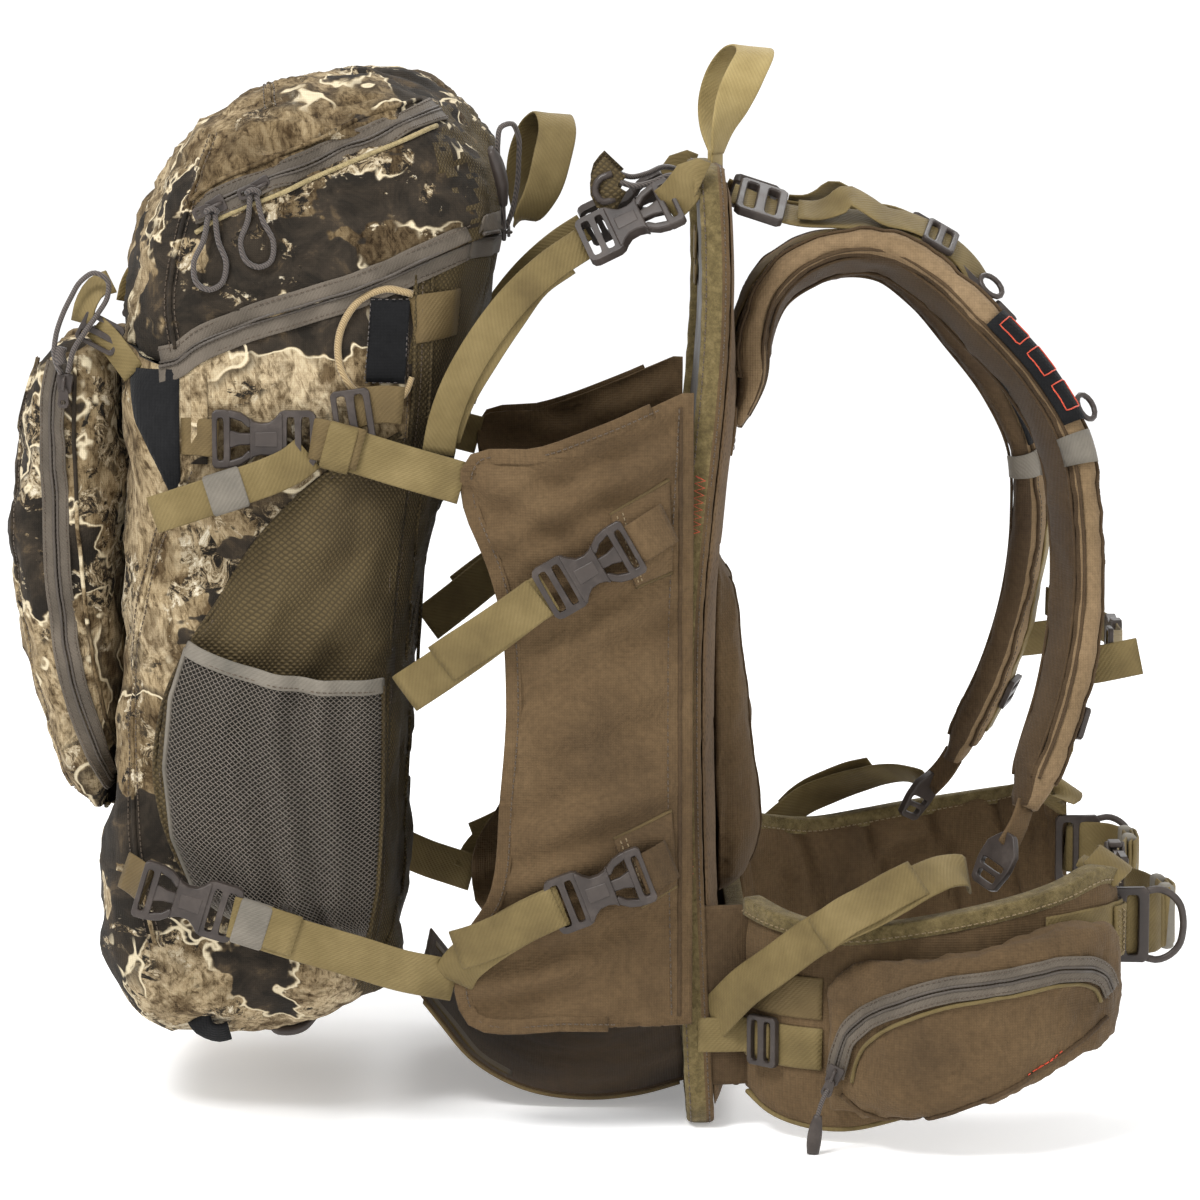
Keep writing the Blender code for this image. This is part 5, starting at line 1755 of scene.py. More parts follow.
def side_panels(skin, side, name):
    """Ballistic side panel, seams, label patch, bands and gusset on a side of the bag."""
    front = [(-197, 100), (-239, 119), (-298, 143), (-315, 174), (-323, 209), (-317, 257), (-300, 292),
             (-284, 316), (-266, 345), (-248, 366), (-225, 387), (-176, 414)]
    rear = [(x + 1.5, z) for x, z in sorted(SEAM, key=lambda p: p[1])]
    patch("side_panel_" + name, skin, side, front, rear, 102, 413, 0.9, "olive", folds=panel_folds)
    seam("panel_seam_" + name, skin, front[1:-1] + [(-178, 413)], side=side, rows=1, width=-3.4)
    seam("rear_seam_" + name, skin, SEAM[::-1], side=side, width=4.2)
    second = [(x + 9.5, z) for x, z in SEAM[::-1]]
    laid_tube("rear_cord_" + name, skin, second, 1.1, "olive", 6, side, 0.4)
    gusset_l = [(-308, 368), (-318, 392), (-333, 420), (-336, 440), (-337, 458)]
    gusset_r = [(-306, 368), (-306, 392), (-306, 420), (-306, 440), (-306, 452)]
    patch("gusset_" + name, skin, side, gusset_l, gusset_r, 370, 450, 1.0, "black")
    laid_ribbon("front_strip_" + name, skin, [(-295, 448), (-294, 425), (-295, 396)], 5.0, 1.3, "camo_low",
                side)
    edge = [(-303, 392), (-322, 345), (-333, 300), (-337, 262), (-337, 215), (-335, 165), (-325, 110)]
    seam("front_seam_" + name, skin, edge, side=side, mat="camo", width=3.6)
    laid_ribbon("rear_band_" + name, skin, [(-171, 479), (-158, 481), (-146, 483)], 14, 1.5, "webbing_dark",
                side, 1.0)
    laid_ribbon("label_patch_" + name, skin, [(-183.5, 491), (-185, 467), (-187, 443)], 11.5, 1.4, "black",
                side, 1.6, 4.0)
    border = [(-173, 491), (-194.6, 491), (-198.6, 443), (-176, 443)]
    for k in range(4):
        a, b = border[k], border[(k + 1) % 4]
        line = [(a[0] + (b[0] - a[0]) * t, a[1] + (b[1] - a[1]) * t) for t in (0.06, 0.35, 0.65, 0.94)]
        row, row_out = skin.lay(line, 2.4, side=side)
        attach(stitches("label_stitch_%d_%s" % (k, name), row, row_out, "cord", 3.0, 2.0, 0.6), "bag")
    around = [(-171, 494), (-186, 497), (-203, 489), (-213, 470), (-212, 450), (-203, 437), (-193, 433)]
    port = laid_tube("hose_port_cord_" + name, skin, around, 2.2, "cord_tan", 8, side, 1.4, step=4.0)
    below = [(-190, 431.5), (-184, 431), (-176, 436), (-172, 446)]
    foot = laid_tube("hose_port_foot_" + name, skin, below, 1.8, "cord_tan", 8, side, 1.2, step=4.0)
    free_cord(port, 2.2, "object", "taut", (foot,))


def bag_straps(side, name):
    """Compression straps, buckles and keepers that ride on the bag."""
    upper = [(-223, 159.3, 408.8), (-214, 160, 406.5), (-205, 161, 404), (-178, 163.6, 396),
             (-160, 165.4, 391), (-147, 167, 387.5), (-141.5, 168, 386)]
    how = ("press", "bag", "bag_compress", (1, 0, 0), (-0.223, 0, 0), 0.96)
    side_strap("bag_strap_web_a_" + name, upper, side, how=how, node="bag_strap_upper_" + name, wave=0.5)
    fold = [(-229, 161.6, 411.5), (-218, 162.6, 409.5), (-206, 163.4, 406.5), (-200, 163.8, 404.8)]
    side_strap("bag_strap_fold_" + name, fold, side, mat="webbing_dark", wave=0.3, half=12.2)
    tail = [(-231, 160.8, 403), (-240, 163.4, 396), (-252, 166.4, 390.5), (-272, 168.5, 383.5),
            (-294, 167.6, 376), (-312, 165, 370), (-321, 163, 367)]
    side_strap("bag_strap_tail_" + name, tail, side, wave=1.0, half=11)
    keeper("bag_keeper_a_" + name, (-278, side * 168.4, 381.4), (-0.95, 0, -0.3), (0, side, 0), 11, "bag",
           "grey_band", 22, 3.8)
    keeper("bag_keeper_b_" + name, (-213, side * 162.4, 406.2), (-0.95, 0, 0.26), (0, side, 0), 13, "bag",
           "webbing", 17, 6.4)
    side_release("bag_buckle_a_" + name, "bag_buckle_upper_" + name, (-256.5, 159, 411), 180, side, "bag")
    half = [(-206, 157, 427), (-196, 157.6, 430), (-186, 157.6, 431), (-176, 157, 430)]
    side_strap("bag_tab_" + name, half, side, mat="webbing_dark", how="bag", half=11, wave=0.3)
    small_buckle("bag_tab_buckle_" + name, placed((-205, 159.2, 424), 8, side), "bag", 1.05)
    lower = [(-271.5, 188, 133.2), (-262, 189.4, 130), (-240, 190, 123), (-205, 187.6, 112),
             (-175, 179, 101), (-160, 174, 97), (-147, 169.5, 93.6)]
    how = ("press", "bag", "bag_compress", (1, 0, 0), (-0.2715, 0, 0), 0.82)
    side_strap("bag_strap_web_b_" + name, lower, side, how=how, node="bag_strap_lower_" + name, wave=0.5)
    fold = [(-276, 190.6, 136), (-264, 191.6, 133), (-250, 192.4, 128.5), (-238, 192.2, 124.5)]
    side_strap("bag_strap_fold_b_" + name, fold, side, wave=0.3, half=12.2)
    keeper("bag_keeper_c_" + name, (-264, side * 190.6, 131.6), (0.95, 0, -0.3), (0, side, 0), 12.6, "bag",
           "grey_band", 19, 6.0)
    side_release("bag_buckle_b_" + name, "bag_buckle_lower_" + name, (-301, 187, 144), 163, side, "bag")
    root = [(-341, 160, 158), (-334, 168, 155.5), (-329, 176, 153.5), (-325, 184, 151.8)]
    side_strap("bag_root_b_" + name, root, side, mat="webbing_dark", wave=0, half=11)
    root = [(-305, 152, 412), (-296, 155, 412), (-288, 158.5, 411.5), (-283, 159, 411.3)]
    side_strap("bag_root_a_" + name, root, side, mat="webbing_dark", wave=0, half=11)


def mesh_pocket(side, name):
    """A net side pocket: diamond net over a dark sheet of painted shade that stands in for the shadowed inside of the
    pocket, with grey elastic binding.
    """
    low = [(116, 2), (124, 14), (142, 24), (180, 30), (230, 29), (262, 26), (284, 23)]
    left = [(-236, 118), (-280, 128), (-300, 143), (-313, 175), (-317, 215), (-313, 255), (-302, 288)]
    right = [(-199, 112), (-193, 150), (-190, 200), (-189, 266)]

    def point(f, g, lift):
        """A point on the mesh pocket: share f of its width, share g of its height."""
        z = 116 + 168 * g
        x = x_at(z, left) * (1 - f) + x_at(z, right) * f
        z_top = (4.0 - 22.0 * (1 - (1 - min(1.0, f)) ** 2.2)) * g
        bulge = np.interp(z, *zip(*low))
        swell = bulge * (math.sin(math.pi * min(1, max(0, f))) ** 0.55)
        folds = 4.2 * math.sin(f * 27 + 1.5 * math.sin(z * 0.028)) * math.exp(-((f - 0.60) / 0.26) ** 2)
        folds += 2.6 * noise.noise(Vector((x * 0.05, z * 0.012, side * 3 + 5)))
        return (x, side * (151.6 + max(0.6, swell + folds * min(1, swell / 10)) + lift), z + z_top)

    def sheet_rows(nu, nv, lift):
        """Rows of points over the whole pocket."""
        return [[point(i / nu, j / nv, lift) for i in range(nu + 1)] for j in range(nv + 1)]

    # The dark sheet just behind the net is painted shade: it stands in for the shadowed inside of the pocket.
    back = loft("mesh_pocket_back_" + name, sheet_rows(44, 52, -1.6), "lining", closed=False)
    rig.replaces(back, "mesh_pocket_" + name)
    verts, faces = [], []
    nu, nv = 72, 104
    index = {}
    for j in range(nv + 1):
        for i in range(nu + 1):
            if (i + j) % 2 == 0:
                index[i, j] = len(verts)
                verts.append(np.array(point(i / nu, j / nv, 0.2)) * MM)
    for j in range(nv - 1):
        for i in range(nu + 1):
            corners = [(i, j), (i + 1, j + 1), (i, j + 2), (i - 1, j + 1)]
            if (i + j) % 2 == 0 and all(corner in index for corner in corners[1:]):
                faces.append(tuple(index[corner] for corner in corners))
    net = make("mesh_net_" + name, verts, faces, "net")
    modify(net, "WIREFRAME", thickness=0.00078, use_even_offset=False)
    smooth_faces(net)
    top = np.array([point(k / 30, 1.0, 0.6) for k in range(31)])
    band = ribbon("mesh_binding_" + name, top, 4.6, 2.6, (0, side, 0), "grey_band")
    edge = np.array([point(0.0, g, 1.0) for g in np.linspace(1, 0, 30)])
    side_edge = tube("mesh_edge_" + name, edge, 1.8, "grey_band")
    rear = np.array([point(1.0, g, 1.0) for g in np.linspace(1, 0, 30)])
    rear_edge = tube("mesh_rear_edge_" + name, rear, 1.6, "olive")
    row = stitches("mesh_stitch_" + name, top + np.array((0, side * 1.4, -2.6)), (0, side, 0),
                   "thread_dark")
    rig.sheet(back, flat=(0.150, 0.176), area=0.0212, held="gathered", rests_on=["bag_body"],
             with_pieces=[net, band, side_edge, rear_edge, row])
    attach_all("bag", back, net, band, side_edge, rear_edge, row)


# ---------------------------------------------------------------- front pocket
POCKET_KEYS = [(178, -374, 78), (204, -389, 100), (255, -406, 109.5), (326, -419, 112), (378, -417, 114),
               (415, -408, 113), (448, -396, 110), (460, -388, 98)]
POCKET_REAR = [(178, -357.5), (208, -352.5), (264, -348), (324, -346), (383, -345), (460, -345)]
# The lid's corner presses the pocket's top flat as it swings.
PRESSED = ("press", "bag", "lid_hinge", (0, 0, 1), (0, 0, 0.452), 0.12)


def front_pocket():
    """The bag's front pocket, puffed, with its side zips."""
    keys = np.array([(f, 0, z, h) for z, f, h in POCKET_KEYS], float)
    rows = resample(keys, 54)
    rings = []
    for x, _, z, h in rows:
        rear = float(np.interp(z, *zip(*POCKET_REAR)))
        rings.append(rounded_section((x, z), (rear, z), h, 3.4, count=110))
    foot, top = ([ring.mean(axis=0) + (ring - ring.mean(axis=0)) * f + np.array((0, 0, rise * (1 - f)))
                  for f in (0.2, 0.5, 0.75, 0.93)] for ring, rise in ((rings[0], -3.0), (rings[-1], 4.0)))
    rings = foot + rings + top[::-1]
    obj = loft("pocket_body", rings, "camo")
    rumple(obj, (80, 6.0, 41.0), (38, 3.0, 45.0), (26, 2.6, 51.0, (1, 1, 0.5), True))
    paint(obj, "camo")
    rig.replaces(obj, "front_pocket")
    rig.padded(obj, 0.6)
    attach(obj, "bag")
    skin = Skin(obj)
    for side, name in SIDES:
        line = [(-380, 452), (-384, 432), (-385, 405), (-384, 370), (-383, 330), (-380, 290), (-373, 252),
                (-364, 222), (-357, 200)]
        spots, outs = skin.lay(dense(line, 5.0), 0.6, side=side)
        zip_line("pocket_zip_" + name, spots, outs, 16, ("bag", "bag"))
        edge = [(-371, 455), (-372, 430), (-372, 390), (-370, 340), (-366, 290), (-358, 240), (-351, 205)]
        laid_tube("pocket_piping_" + name, skin, edge, 1.3, "camo_low", 6, side, 0.8)
        front = [(-399, 452), (-408, 415), (-411, 370), (-410, 325), (-404, 280), (-394, 235), (-380, 196)]
        seam("pocket_seam_" + name, skin, front, side=side, mat="camo", rows=1, width=3.4)
    top = np.array([(-353, y, 460 + 1.0 * math.cos(y / 30)) for y in np.linspace(-96, 96, 30)])
    attach(ribbon("pocket_top_flap", top, 7.0, 2.0, (-0.3, 0, 1), "brown"), PRESSED)
    slider("front_slider_body", "front_slider", (-376.5, -118.8, 440), (0.05, 0, 1), (-0.1, -1, 0),
           "front_slider", 12)
    pull = [(-378.5, -120.5, 446), (-382, -121.5, 456), (-381, -122.5, 468), (-377, -124, 480),
            (-371.5, -125, 491), (-365.5, -125.5, 500.5), (-357.5, -125.5, 505.5), (-349.8, -125.5, 501),
            (-350, -125.5, 491.5), (-355.5, -125.5, 482), (-363, -125.5, 471.5), (-370.5, -124.5, 460),
            (-374, -123, 447)]
    loop = tube("front_pull_loop", pull, 1.6, "cord", 8, step=2)
    attach(loop, ("press", "front_slider", "lid_hinge", (0, 0, 1), (0, 0, 0.446), 0.12))
    free_cord(loop, 1.6, "object", "loose")
    attach(tube("front_pull_knot", [(-378, -120.5, 452), (-379, -121, 457), (-378, -121, 462)], 3.6, "cord",
                8, step=1.5), "front_slider")
    for side, name in SIDES:
        strap = [(-349, side * 114, 500), (-357, side * 118, 497), (-363, side * 120, 488),
                 (-366, side * 120, 476)]
        attach(ribbon("front_strap_" + name, strap, 8, 1.8, (-0.6, side, 0.2), "webbing"), PRESSED)
        small_buckle("front_buckle_" + name, placed((-355, 121.5, 470), 62, side), PRESSED, 0.85)
        strap = [(-358, side * 120.6, 474), (-350, side * 121.8, 466), (-342, side * 123.5, 456),
                 (-335, side * 127, 447)]
        attach(ribbon("front_strap_low_" + name, strap, 8, 1.8, (-0.5, side, 0.1), "webbing"), PRESSED)


def bag_bottom():
    """Strap ends and a pull under the bag."""
    for side, name in SIDES:
        tab = [(-303, side * 116, 60), (-298, side * 117, 53), (-290, side * 118, 50.5),
               (-284, side * 117, 52)]
        attach(ribbon("bottom_tab_" + name, tab, 9, 2.6, (0, side, -1), "black"), "bag")
        pull = [(-262, side * 92, 52), (-258, side * 95, 48), (-250, side * 97, 47.5),
                (-241, side * 98, 50), (-234, side * 97, 56)]
        rows = np.column_stack([np.array(pull, float), [2.2, 3.6, 4.2, 3.8, 2.4]])
        attach(tube("bottom_pull_" + name, rows, 3, "plastic", 10, step=2, flat=0.7), "bag")


# ---------------------------------------------------------------- harness
STRAP_PIVOT = (26.0, 0.0, 445.0)
LEFT_SWING = 4.5  # degrees
STRAP_PATH = [
    (29, 63, 438, 27), (32, 61, 466, 31), (42, 60, 491, 33), (60, 60, 506, 33), (84, 60, 515, 33),
    (110, 62, 514, 33), (136, 66, 499, 33), (164, 72, 472, 33), (192, 80, 441, 32), (213, 88, 405, 31),
    (221, 96, 357, 30), (221, 106, 309, 29), (212, 117, 256, 27), (198, 126, 214, 23), (190, 131, 190, 15)]


def swing(side):
    """The left strap rests turned a little about the harness pivot."""
    pivot = Matrix.Translation(STRAP_PIVOT)
    return pivot @ turned("Y", LEFT_SWING if side > 0 else 0.0) @ pivot.inverted()


def swung(points, side):
    """Right-hand points (x, y outward, z) on a side, with the left strap's swing."""
    turn = swing(side)
    return np.array([turn @ Vector((p[0], p[1] * side, p[2])) for p in points])


ROOT = [(19.5, 66, 411), (22, 65, 418), (25.5, 64, 427)]
STRAP_HOW = ("blend", "frame", "shoulder", (0.016, 0, 0), (0.050, 0, 0))


def strap_frames(side, count=90):
    """Stations along a shoulder strap: centre, across (to the outer edge), out, half, along, thickness."""
    rows = resample([(x, y, z, h, k) for k, (x, y, z, h) in enumerate(STRAP_PATH)], count)
    root = [(x, y, z, 26.0, 0) for x, y, z in ROOT]
    rows = np.vstack([root, rows])
    centre = rows[:, :3] * (1, side, 1)
    along = tangents(centre)
    stations = []
    for k, (c, t) in enumerate(zip(centre, along)):
        t = Vector(t)
        across = Vector((0, side, 0)).cross(t).normalized().cross(t).normalized() * -1
        roll = math.radians(14) * min(1.0, rows[k, 4] / 3) * side
        across = Matrix.Rotation(roll, 3, t) @ across
        out = across.cross(t) * (1 if side > 0 else -1)
        stations.append((Vector(c), across, out, float(rows[k, 3]), t, min(1.0, 0.3 + 0.16 * k)))
    return stations


def strap_pad(side, name):
    """A padded shoulder strap: foam body, tan outer face, bound seams, elastic sleeve and webbing."""
    turn = swing(side)
    spin = turn.to_3x3()
    stations = strap_frames(side)
    lead = len(ROOT)
    count = len(stations) - lead
    outward = -1 if stations[45 + lead][2].x < 0 else 1

    def section(k, angle, lift=0.0):
        """A point on the padded strap's round section at station k."""
        c, across, out, half, _, share = stations[k + lead]
        end = count - 1 - k
        thick = 9.6 * share * min(1.0, 0.55 + end * 0.12) + lift
        half = (half - 0.8) * min(1.0, 0.86 + end * 0.05) + lift
        ca, sa = math.cos(angle), math.sin(angle)
        flat = bent(ca, 0.5)
        high = bent(sa, 0.75)
        crown = 1 - 0.10 * abs(flat) ** 3
        return turn @ (c + across * half * flat + out * outward * thick * high * crown)

    rings = [[section(k, 2 * math.pi * j / 40) for j in range(40)] for k in range(-lead, count)]
    body = loft("strap_foam_" + name, rings, "brown")
    rumple(body, (34, 1.6, 61.0 + side, (1, 1, 1)), (14, 0.7, 66.0), (20, 1.0, 71.0, (1, 0.3, 1), True))
    paint(body, "tan", "brown_dark")
    for face in body.data.polygons[:(count + lead - 1) * 40]:
        a = 2 * math.pi * (face.index % 40 + 0.5) / 40
        limit = -0.75 if math.cos(a) > 0 else 0.5
        face.material_index = 0 if math.sin(a) > limit else 1
    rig.replaces(body, "strap_pad_" + name)
    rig.padded(body, 0.7)
    attach(body, STRAP_HOW)
    skin = Skin(body)

    def spot(k, share, lift, up=1):
        """A point on the pad's face at station k, its share of the way across, and the direction out."""
        c, across, out, half, _, _ = stations[k + lead]
        out = out * outward * up
        origin = turn @ (c + across * half * share + out * 40)
        hit, _ = skin.cast(origin, spin @ (-out))
        return hit + np.array(spin @ out) * lift, np.array(spin @ out)

    face = []
    for k in range(3 - lead, count - 3):
        row = []
        for j in range(17):
            share = -0.80 + 1.60 * j / 16
            row.append(spot(k, share, 0.9 * (1 - abs(share / 0.8) ** 8) + 0.25)[0])
        face.append(row)
    cover = loft("strap_face_" + name, face, "tan", closed=False)
    thicken(cover, 0.0011)
    attach(cover, STRAP_HOW)
    for tag, share in (("inner", -0.80), ("outer", 0.80)):
        line = np.array([spot(k, share, 0.9)[0] for k in range(3 - lead, count - 3)])
        attach(tube("strap_piping_%s_%s" % (tag, name), line, 1.2, "brown_dark", 6), STRAP_HOW)
        pairs = [spot(k, share * 0.88, 1.4) for k in range(4 - lead, count - 4)]
        line, outs = split(pairs)
        attach(stitches("strap_stitch_%s_%s" % (tag, name), line, outs, "thread_dark", 3.8, 2.6, 0.7),
               STRAP_HOW)
    for tag, angle in (("edge", -math.radians(30)), ("back", -math.radians(62)),
                       ("rear", -math.radians(120))):
        line = np.array([section(k, angle, 0.5) for k in range(1 - lead, count - 3)])
        attach(tube("strap_channel_%s_%s" % (tag, name), line, 1.1, "brown_dark", 6), STRAP_HOW)

    def over(tag, first, last, share0, share1, lift, half, mat, thick=1.7, wave=0.0):
        """A ribbon laid along the pad."""
        pairs = []
        for k in np.linspace(first, last, max(6, int((last - first) * 1.5))):
            low = int(math.floor(k))
            share = share0 + (share1 - share0) * (k - first) / (last - first)
            a, n = spot(low, share, lift)
            b, _ = spot(min(low + 1, count - 1), share, lift)
            pairs.append((a + (b - a) * (k - low), n))
        line, outs = split(pairs)
        attach(ribbon("%s_%s" % (tag, name), line, half, thick, outs, mat, count=len(line), wave=wave),
               STRAP_HOW)

    def wrapped(tag, first, last, low, high, lift, mat):
        """A sheet round part of the pad's section."""
        rows = [[section(k, math.radians(a), lift) for a in np.linspace(low, high, 34)]
                for k in np.linspace(first, last, last - first + 1).astype(int)]
        obj = loft("%s_%s" % (tag, name), rows, mat, closed=False)
        line = np.array([r[17] for r in rows], float)
        thicken(obj, 0.0014)
        attach(obj, STRAP_HOW)
        return line

    over("strap_web_long", 30, 84, 0.05, 0.0, 2.2, 10.0, "webbing")
    over("strap_web_top", -1, 33, 0.0, 0.05, 2.2, 11.5, "webbing_dark")
    wrapped("strap_sleeve", 36, 49, -22, 152, 2.4, "black")
    wrapped("strap_elastic", 50, 53, -60, 230, 2.0, "grey_band")
    for k, middle in enumerate((38.4, 42.4, 46.4)):
        corners = [(middle - 1.4, 0), (middle + 1.4, 0), (middle + 1.4, 48), (middle - 1.4, 48),
                   (middle - 1.4, 0)]
        line = []
        for (k0, a0), (k1, a1) in zip(corners, corners[1:]):
            for f in (0, 0.34, 0.67):
                at, angle = k0 + (k1 - k0) * f, math.radians(a0 + (a1 - a0) * f)
                low = int(at)
                near, far = (np.array(section(i, angle, 3.3)) for i in (low, low + 1))
                line.append(near + (far - near) * (at - low))
        attach(tube("sleeve_mark_%d_%s" % (k, name), line, 0.45, "thread_red", 6, closed=True), STRAP_HOW)
    for k, (index, scale) in enumerate(((20, 0.8), (31, 1.0), (36, 0.75), (79, 0.9))):
        centre, n = spot(index, 0.02, 4.6)
        t = np.array(spin @ stations[index + lead][4])
        small_buckle("strap_ladder_%d_%s" % (k, name), axes(centre, t, np.cross(n, t), n), "shoulder",
                     scale)
    for k, index in enumerate((33, 48)):
        centre, n = spot(index, 0.45, 5.0)
        t = np.array(spin @ stations[index + lead][4])
        c = np.cross(n, t)
        ring = [centre + t * math.cos(a) * 8 + (c * 0.55 + n * 0.75) * (math.sin(a) * 7.5 + 5)
                for a in np.linspace(0, 2 * math.pi, 20, endpoint=False)]
        attach(tube("strap_ring_%d_%s" % (k, name), ring, 1.7, "plastic", 8, closed=True), "shoulder")
    rows = [[(frame_x(z) + 20.0 - 0.05 * abs(z - 410) + 1.4 * math.cos((y - 66) / 22), y * side, z)
             for y in np.linspace(32, 100, 24)] for z in np.linspace(396, 424, 14)]
    patch_cloth = loft("strap_anchor_" + name, rows, "brown", closed=False)
    thicken(patch_cloth, 0.0016)
    attach(patch_cloth, "frame")
    for k, z in enumerate((399.5, 403.5)):
        line = [(frame_x(z) + 20.6 + 1.4 * math.cos((y - 66) / 22), y * side, z)
                for y in np.linspace(36, 96, 16)]
        attach(stitches("strap_anchor_stitch_%d_%s" % (k, name), line, (1, 0, 0), "thread_dark", 3.6, 2.5,
                        0.8), "frame")


def harness_extras(side, name):
    """Load lifter, lower webbing, adjuster and free tail of one shoulder strap."""
    how = ("blend", "frame", "shoulder", (0.012, 0, 0), (0.055, 0, 0))
    lifter = [(17, 72, 551), (24, 72, 548), (34, 72, 543.5), (51, 72, 537.8), (85, 72, 535), (117, 72, 531),
              (141, 72, 522.5), (150, 72, 516.5), (158, 72, 508), (164, 72, 498)]
    rows = onto(side, lifter)
    hint = (0.3, side * 0.45, 0.85)
    obj = ribbon("lifter_web_" + name, rows, 12.0, 1.8, hint, "webbing", wave=0.8)
    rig.replaces(obj, "load_lifter_" + name)
    attach(obj, how)
    fold = [(134, 73, 528.5), (122, 73.5, 533.5), (108, 74, 536.5), (94, 75, 545), (86, 75.5, 549),
            (79, 75, 544.5), (68, 74, 540.5), (56, 73.5, 541)]
    rows = onto(side, fold)
    attach(ribbon("lifter_tail_" + name, rows, 11.6, 1.6, hint, "webbing", wave=0.8, seed=side), how)
    for label, place, lean, size in (("ladder", (34, 73 * side, 545.2), 18, 1.35),
                                     ("slide", (141, 73 * side, 524.5), 30, 0.95)):
        base = Matrix.Translation(place) @ turned("Y", lean) @ turned("X", -26 * side)
        small_buckle("lifter_%s_%s" % (label, name), base, how, size)
    web = [(3, 150, 64), (10, 158, 74), (23, 173, 91), (41, 188.6, 108), (60, 200, 125), (76, 207.4, 136),
           (92, 206.8, 143), (110, 200, 151), (125, 189, 157), (140, 175, 160), (150, 164, 158),
           (154, 157.6, 154)]
    rows = onto(side, web)
    hint = np.array([(-0.35, side, 0.2 + 0.5 * k / 11) for k in range(len(web))])
    obj = ribbon("strap_web_low_" + name, rows, 12.3, 1.8, hint, "webbing", wave=0.8, seed=2 + side)
    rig.replaces(obj, "strap_webbing_" + name)
    low_how = ("blend", "frame", "shoulder", (0.020, 0, 0), (0.150, 0, 0))
    attach(obj, low_how)
    fold = [(122, 193.5, 159.5), (108, 203, 154.6), (92, 209.8, 147), (80, 211.4, 141), (71, 210.4, 134.6),
            (64, 207.4, 128)]
    rows = onto(side, fold)
    attach(ribbon("strap_web_tail_" + name, rows, 11.6, 1.6, (-0.1, side, 0.45), "webbing", wave=0.4),
           low_how)
    plate_at = swing(side) @ Matrix.Translation((172, 146 * side, 161)) @ turned("Y", -62)
    plate_at = plate_at @ turned("X", 90 + 48 * side) @ Matrix.Scale(0.84, 4)
    outline = mirrored([(-21, 8), (-19, 12), (-6, 15), (-2, 15.4), (9, 14.6), (15, 10), (20, 5.6),
                        (21, 3.6)])
    holes = [oval(-13.5, 0, 2.8, 8.6, 14, 5), oval(-4.5, 0, 2.6, 11.0, 14, 5)]
    obj = plate("adjuster_body_" + name, outline, 5.4, plate_at, "plastic", holes, 1.5, 3)
    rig.replaces(obj, "strap_adjuster_" + name)
    attach(obj, "shoulder")
    tip = swung([(190, 131, 192), (186, 137, 182), (180, 143, 172), (177, 146, 168)], side)
    attach(ribbon("adjuster_web_" + name, tip, 8.0, 2.2, (0.8, side * 0.5, 0.3), "brown", wave=0),
           "shoulder")
    tail = swung([(222, 116, 272), (230, 117.5, 273), (240, 118.5, 275), (250, 118, 277),
                  (258, 117, 278.5)], side)
    attach(ribbon("strap_tail_" + name, tail, 11, 1.6, (0, side, 0.1), "webbing", wave=0.8), "shoulder")


def sternum():
    """Chest strap with its small side-release buckle."""
    points = [(240, -112, 284), (252, -75, 279), (256, -28, 276), (256, 28, 276), (240, 75, 279),
              (226, 106, 284)]
    left = [p for p in points if p[1] < 0] + [(256.4, -16, 276)]
    right = [(256.4, 17, 276)] + [p for p in points if p[1] > 0]
    a = ribbon("sternum_web_right", left, 9.6, 1.6, (1, 0, 0), "webbing", wave=0.6)
    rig.replaces(a, "sternum_strap")
    attach(a, "shoulder")
    attach(ribbon("sternum_web_left", right, 9.6, 1.6, (1, 0, 0), "webbing", wave=0.6), "shoulder")
    base = upright((256.4, 0, 276))
    body = mirrored([(-20, 9), (-18, 11.4), (-8, 11.6), (-4, 9), (2, 7.6), (8, 9.6), (15, 11.2), (20, 10)])
    parts = [plate("sternum_a", body, 6.4, base, "plastic", [oval(-15.4, 0, 1.8, 9.4, 12, 6),
                                                            oval(16.2, 0, 1.6, 8.8, 12, 6)], 1.6, 3)]
    lifted = base @ Matrix.Translation((0, 0, 3.2))
    parts.append(plate("sternum_b", mirrored([(-10, 4), (1, 4.6), (6, 3)]), 1.4, lifted, "plastic", (), 0.6,
                       2))
    attach(join("sternum_buckle", parts), "shoulder")
    for side, name in SIDES:
        centre = (241, -108, 284) if side < 0 else (229, 100, 283.4)
        small_buckle("sternum_slide_" + name, upright(centre), "shoulder", 0.72)


# ---------------------------------------------------------------- hip belt
BELT_PATH = [(26, 143, 24, 138, 5), (42, 164, 14, 133, 6.5), (80, 182, 9, 127, 7), (112, 188, 17, 131, 7),
             (140, 190, 27, 136, 7), (176, 184, 42, 143, 7), (206, 171, 54, 150, 7),
             (230, 151, 65, 157, 6.5), (241, 134, 76, 152, 4)]
POCKET_RINGS = [(1.85, 22, 96, 7), (2.3, 18, 110, 11.5), (3, 18, 117, 28), (4, 24, 123, 34),
                (5, 38, 130, 34), (6, 54, 134, 26), (6.6, 60, 128, 18), (7, 68, 106, 7)]


def belt_rows(count):
    """Stations along the left wing: x, y, low, high, half, normal x, normal y, index."""
    rows = resample([(x, y, 0, low, high, half, k) for k, (x, y, low, high, half) in enumerate(BELT_PATH)],
                    count)
    d = tangents(rows[:, :3])
    return np.column_stack([rows[:, 0], rows[:, 1], rows[:, 3:6], -d[:, 1], d[:, 0], rows[:, 6]])


def belt_at(rows, k):
    """The belt's row at station k, without its index."""
    i = np.interp(k, rows[:, 7], range(len(rows)))
    return [float(np.interp(i, range(len(rows)), rows[:, c])) for c in range(7)]


def belt_how(side, name):
    """How a piece follows the frame and the belt wing in shares."""
    return ("blend", "frame", "belt_" + name, (0.022, side * 0.140, 0), (0.060, side * 0.172, 0))


